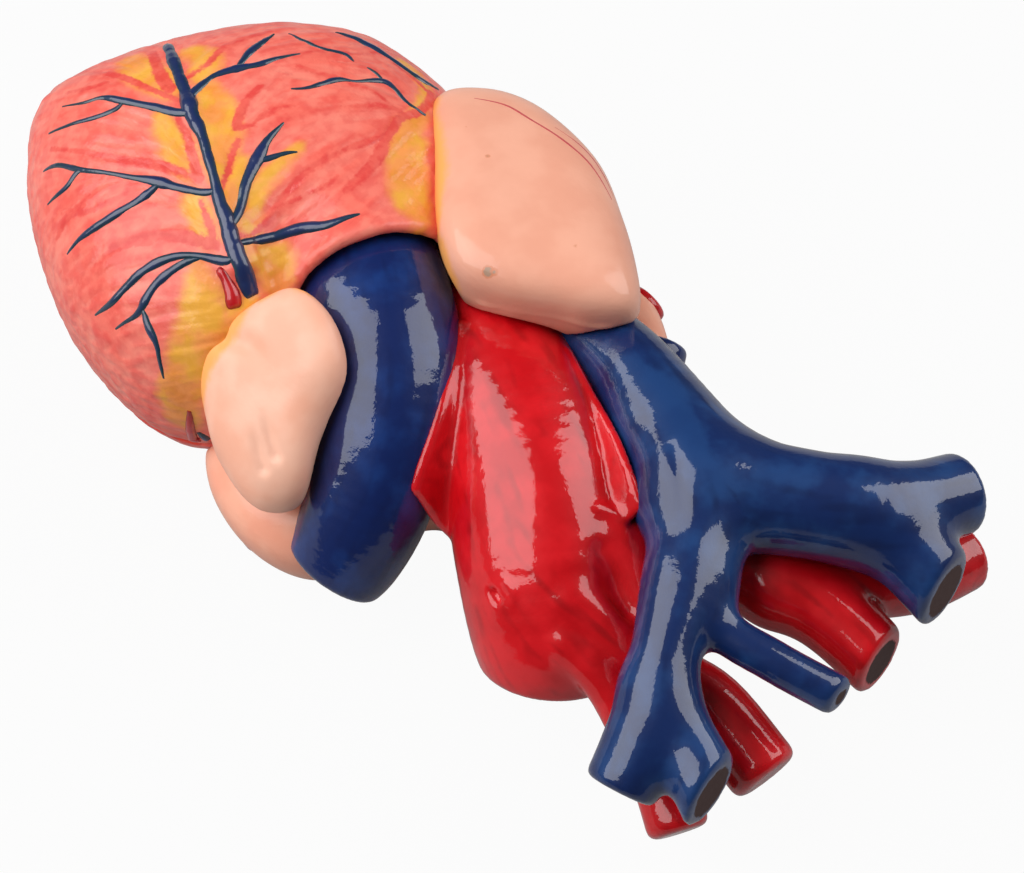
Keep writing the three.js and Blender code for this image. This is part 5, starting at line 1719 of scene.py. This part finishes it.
paint_vessel(
    arteries, [(BRACHIOCEPHALIC_ARTERY, SAWN_ACROSS), (RIGHT_SUBCLAVIAN_ARTERY, None)],
    [AORTA, BRACHIOCEPHALIC_ARTERY, LEFT_CAROTID_ARTERY], seed=21,
)
place_piece(
    surface_mesh("aorta_and_branches", arteries, ARTERY), "aorta_and_branches", "heart_base",
    ["aorta", "brachiocephalic_artery", "left_carotid_artery", "left_subclavian_artery"],
)

trunk = mould_forms([(Vessel(PULMONARY_TRUNK, sawn=(True, True)), 0)], VESSEL_GRAIN)
paint_vessel(trunk, [(PULMONARY_TRUNK, None)], [PULMONARY_TRUNK], seed=22)
place_piece(
    surface_mesh("pulmonary_trunk_body", trunk, TRUNK), "pulmonary_trunk_body", "heart_base",
    ["pulmonary_trunk"],
)

veins = mould_forms([
    (Vessel(VENA_CAVA, sawn=(True, False)), 0),
    (Vessel(RIGHT_BRACHIOCEPHALIC_VEIN), GREAT_BRANCH_FLARE),
    (Vessel(RIGHT_JUGULAR_VEIN, saw_way=SAWN_ACROSS), BRANCH_FLARE),
    (Vessel(LEFT_BRACHIOCEPHALIC_VEIN), LEFT_VEIN_FLARE),
    (Vessel(LEFT_JUGULAR_VEIN, saw_way=SAWN_ACROSS), BRANCH_FLARE),
    (Vessel(THYROID_VEIN, saw_way=SAWN_ACROSS), BRANCH_FLARE),
], VESSEL_GRAIN)
veins.sculpt(VEIN_FOLDS)
paint_vessel(veins, [
    (RIGHT_BRACHIOCEPHALIC_VEIN, None), (RIGHT_JUGULAR_VEIN, SAWN_ACROSS),
    (LEFT_BRACHIOCEPHALIC_VEIN, None), (LEFT_JUGULAR_VEIN, SAWN_ACROSS), (THYROID_VEIN, SAWN_ACROSS),
], [VENA_CAVA, RIGHT_BRACHIOCEPHALIC_VEIN, LEFT_BRACHIOCEPHALIC_VEIN], seed=23, worn=VEIN_PAINTED_REFLECTION)
place_piece(
    surface_mesh("great_veins", veins, VEIN), "great_veins", "heart_base",
    ["superior_vena_cava", "left_brachiocephalic_vein", "thyroid_vein"],
)

# Short vessels at the back: their course, paint and slot
STUBS = {
    "right_pulmonary_artery": (RIGHT_PULMONARY_ARTERY, TRUNK, "pulmonary"),
    "inferior_vena_cava": (LOWER_VENA_CAVA, VEIN, "vein"),
    "right_upper_pulmonary_vein": (RIGHT_UPPER_VEIN, ARTERY, "artery"),
    "right_lower_pulmonary_vein": (RIGHT_LOWER_VEIN, ARTERY, "artery"),
    "left_upper_pulmonary_vein": (LEFT_UPPER_VEIN, ARTERY, "artery"),
    "left_lower_pulmonary_vein": (LEFT_LOWER_VEIN, ARTERY, "artery"),
}
for seed, (node, (stations, material, slot)) in enumerate(STUBS.items(), 30):
    stub = mould_forms([(Vessel(stations, sawn=(True, True)), 0)], STUB_GRAIN)
    paint_vessel(stub, [(stations, None)], [stations], seed)
    name = node + "_stub"
    place_piece(surface_mesh(name, stub, material), name, "heart_base", [node])


# Inside

# Pieces inside: distance between samples, rounds of smoothing, paint and slot
INSIDE = {
    "septum": (0.7, 6, CHAMBER, "chamber"),
    "valve_plate": (0.6, 4, CHAMBER, "chamber"),
    "tricuspid_valve": (0.35, 3, VALVE, "valve"),
    "mitral_valve": (0.35, 3, VALVE, "valve"),
    "pulmonary_valve": (0.3, 3, VALVE, "valve"),
    "aortic_valve": (0.3, 3, VALVE, "valve"),
    "anterior_papillary_right": (0.3, 4, CHAMBER, "chamber"),
    "posterior_papillary_right": (0.3, 4, CHAMBER, "chamber"),
    "anterior_papillary_left": (0.3, 4, CHAMBER, "chamber"),
    "posterior_papillary_left": (0.3, 4, CHAMBER, "chamber"),
}
for node, (grain, rounds, material, slot) in INSIDE.items():
    softened_copy(node + "_form", node, grain, rounds, material, "heart_base")

for node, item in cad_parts.items():
    if "magnet" in node or "pin" in node:
        item.data.materials.clear()
        item.data.materials.append(STEEL)


# Floor, lights and camera

def look_at(azimuth, elevation):
    """The way towards a viewer at this azimuth and elevation, with the viewer's right and up."""
    a = math.radians(azimuth)
    e = math.radians(elevation)
    back = Vector((math.sin(a) * math.cos(e), -math.cos(a) * math.cos(e), math.sin(e)))
    right = Vector((math.cos(a), math.sin(a), 0))
    return back, right, back.cross(right)


def place_facing(item, target, back, right, up, distance):
    """Sets an object at a distance from a target, turned to face it."""
    basis = Matrix((right, up, back)).transposed().to_4x4()
    basis.translation = target + back * distance
    item.matrix_world = basis


back, right, up = look_at(CAMERA_AZIMUTH, CAMERA_ELEVATION)
target = Vector(CAMERA_TARGET) * MM
camera_data = bpy.data.cameras.new("camera")
camera_data.lens = CAMERA_LENS
camera_data.sensor_width = CAMERA_SENSOR
camera_data.clip_start = CAMERA_NEAREST * MM
camera = add_object("camera", camera_data)
place_facing(camera, target, back, right, up, CAMERA_DISTANCE * MM)
bpy.context.scene.camera = camera


def softbox(name, turn, tilt, width, height):
    """A panel turned to the viewer's right and tilted up from the camera's own direction."""
    t = math.radians(turn)
    v = math.radians(tilt)
    way = (back * math.cos(t) + right * math.sin(t)) * math.cos(v) + up * math.sin(v)
    way.normalize()
    side = up.cross(way).normalized()
    data = bpy.data.lights.new(name, "AREA")
    data.shape = "RECTANGLE"
    data.size = width
    data.size_y = height
    data.energy = SOFTBOX_RADIANCE * math.pi * width * height
    lamp = add_object(name, data)
    place_facing(lamp, target, way, side, way.cross(side), SOFTBOX_DISTANCE)


for name, panel in SOFTBOXES.items():
    softbox(name, *panel)

world = bpy.data.worlds.new("studio")
world.use_nodes = True
room = world.node_tree.nodes["Background"]
room.inputs["Color"].default_value = WHITE
room.inputs["Strength"].default_value = ROOM_LIGHT
bpy.context.scene.world = world
bpy.context.scene.view_settings.view_transform = "Standard"


def floor_paint():
    """A matt floor that looks white to the eye and only a little brighter in reflections."""
    material = bpy.data.materials.new("pale_floor")
    material.use_nodes = True
    tree = material.node_tree
    wiring = Wiring(tree)
    shader = tree.nodes["Principled BSDF"]
    shader.inputs["Base Color"].default_value = (FLOOR_TONE, FLOOR_TONE, FLOOR_TONE, 1)
    shader.inputs["Roughness"].default_value = 0.9
    shader.inputs["Specular IOR Level"].default_value = 0.1
    glow = tree.nodes.new("ShaderNodeEmission")
    glow.inputs["Color"].default_value = WHITE
    glow.inputs["Strength"].default_value = 1
    rays = tree.nodes.new("ShaderNodeLightPath").outputs
    mirrored = wiring.math("MAXIMUM", rays["Is Glossy Ray"], rays["Is Transmission Ray"])
    seen = wiring.times(rays["Is Camera Ray"], FLOOR_GLOW_SEEN)
    share = wiring.math("MULTIPLY_ADD", mirrored, FLOOR_GLOW_MIRRORED, seen)
    blend = tree.nodes.new("ShaderNodeMixShader")
    wiring.link(share, blend.inputs[0])
    wiring.link(shader.outputs[0], blend.inputs[1])
    wiring.link(glow.outputs[0], blend.inputs[2])
    wiring.link(blend.outputs[0], tree.nodes["Material Output"].inputs["Surface"])
    return material


def make_floor():
    mesh = bpy.data.meshes.new("floor")
    r = FLOOR_REACH
    mesh.from_pydata([(-r, -r, 0), (r, -r, 0), (r, r, 0), (-r, r, 0)], [], [(0, 1, 2, 3)])
    mesh.materials.append(floor_paint())
    add_object("floor", mesh)


make_floor()
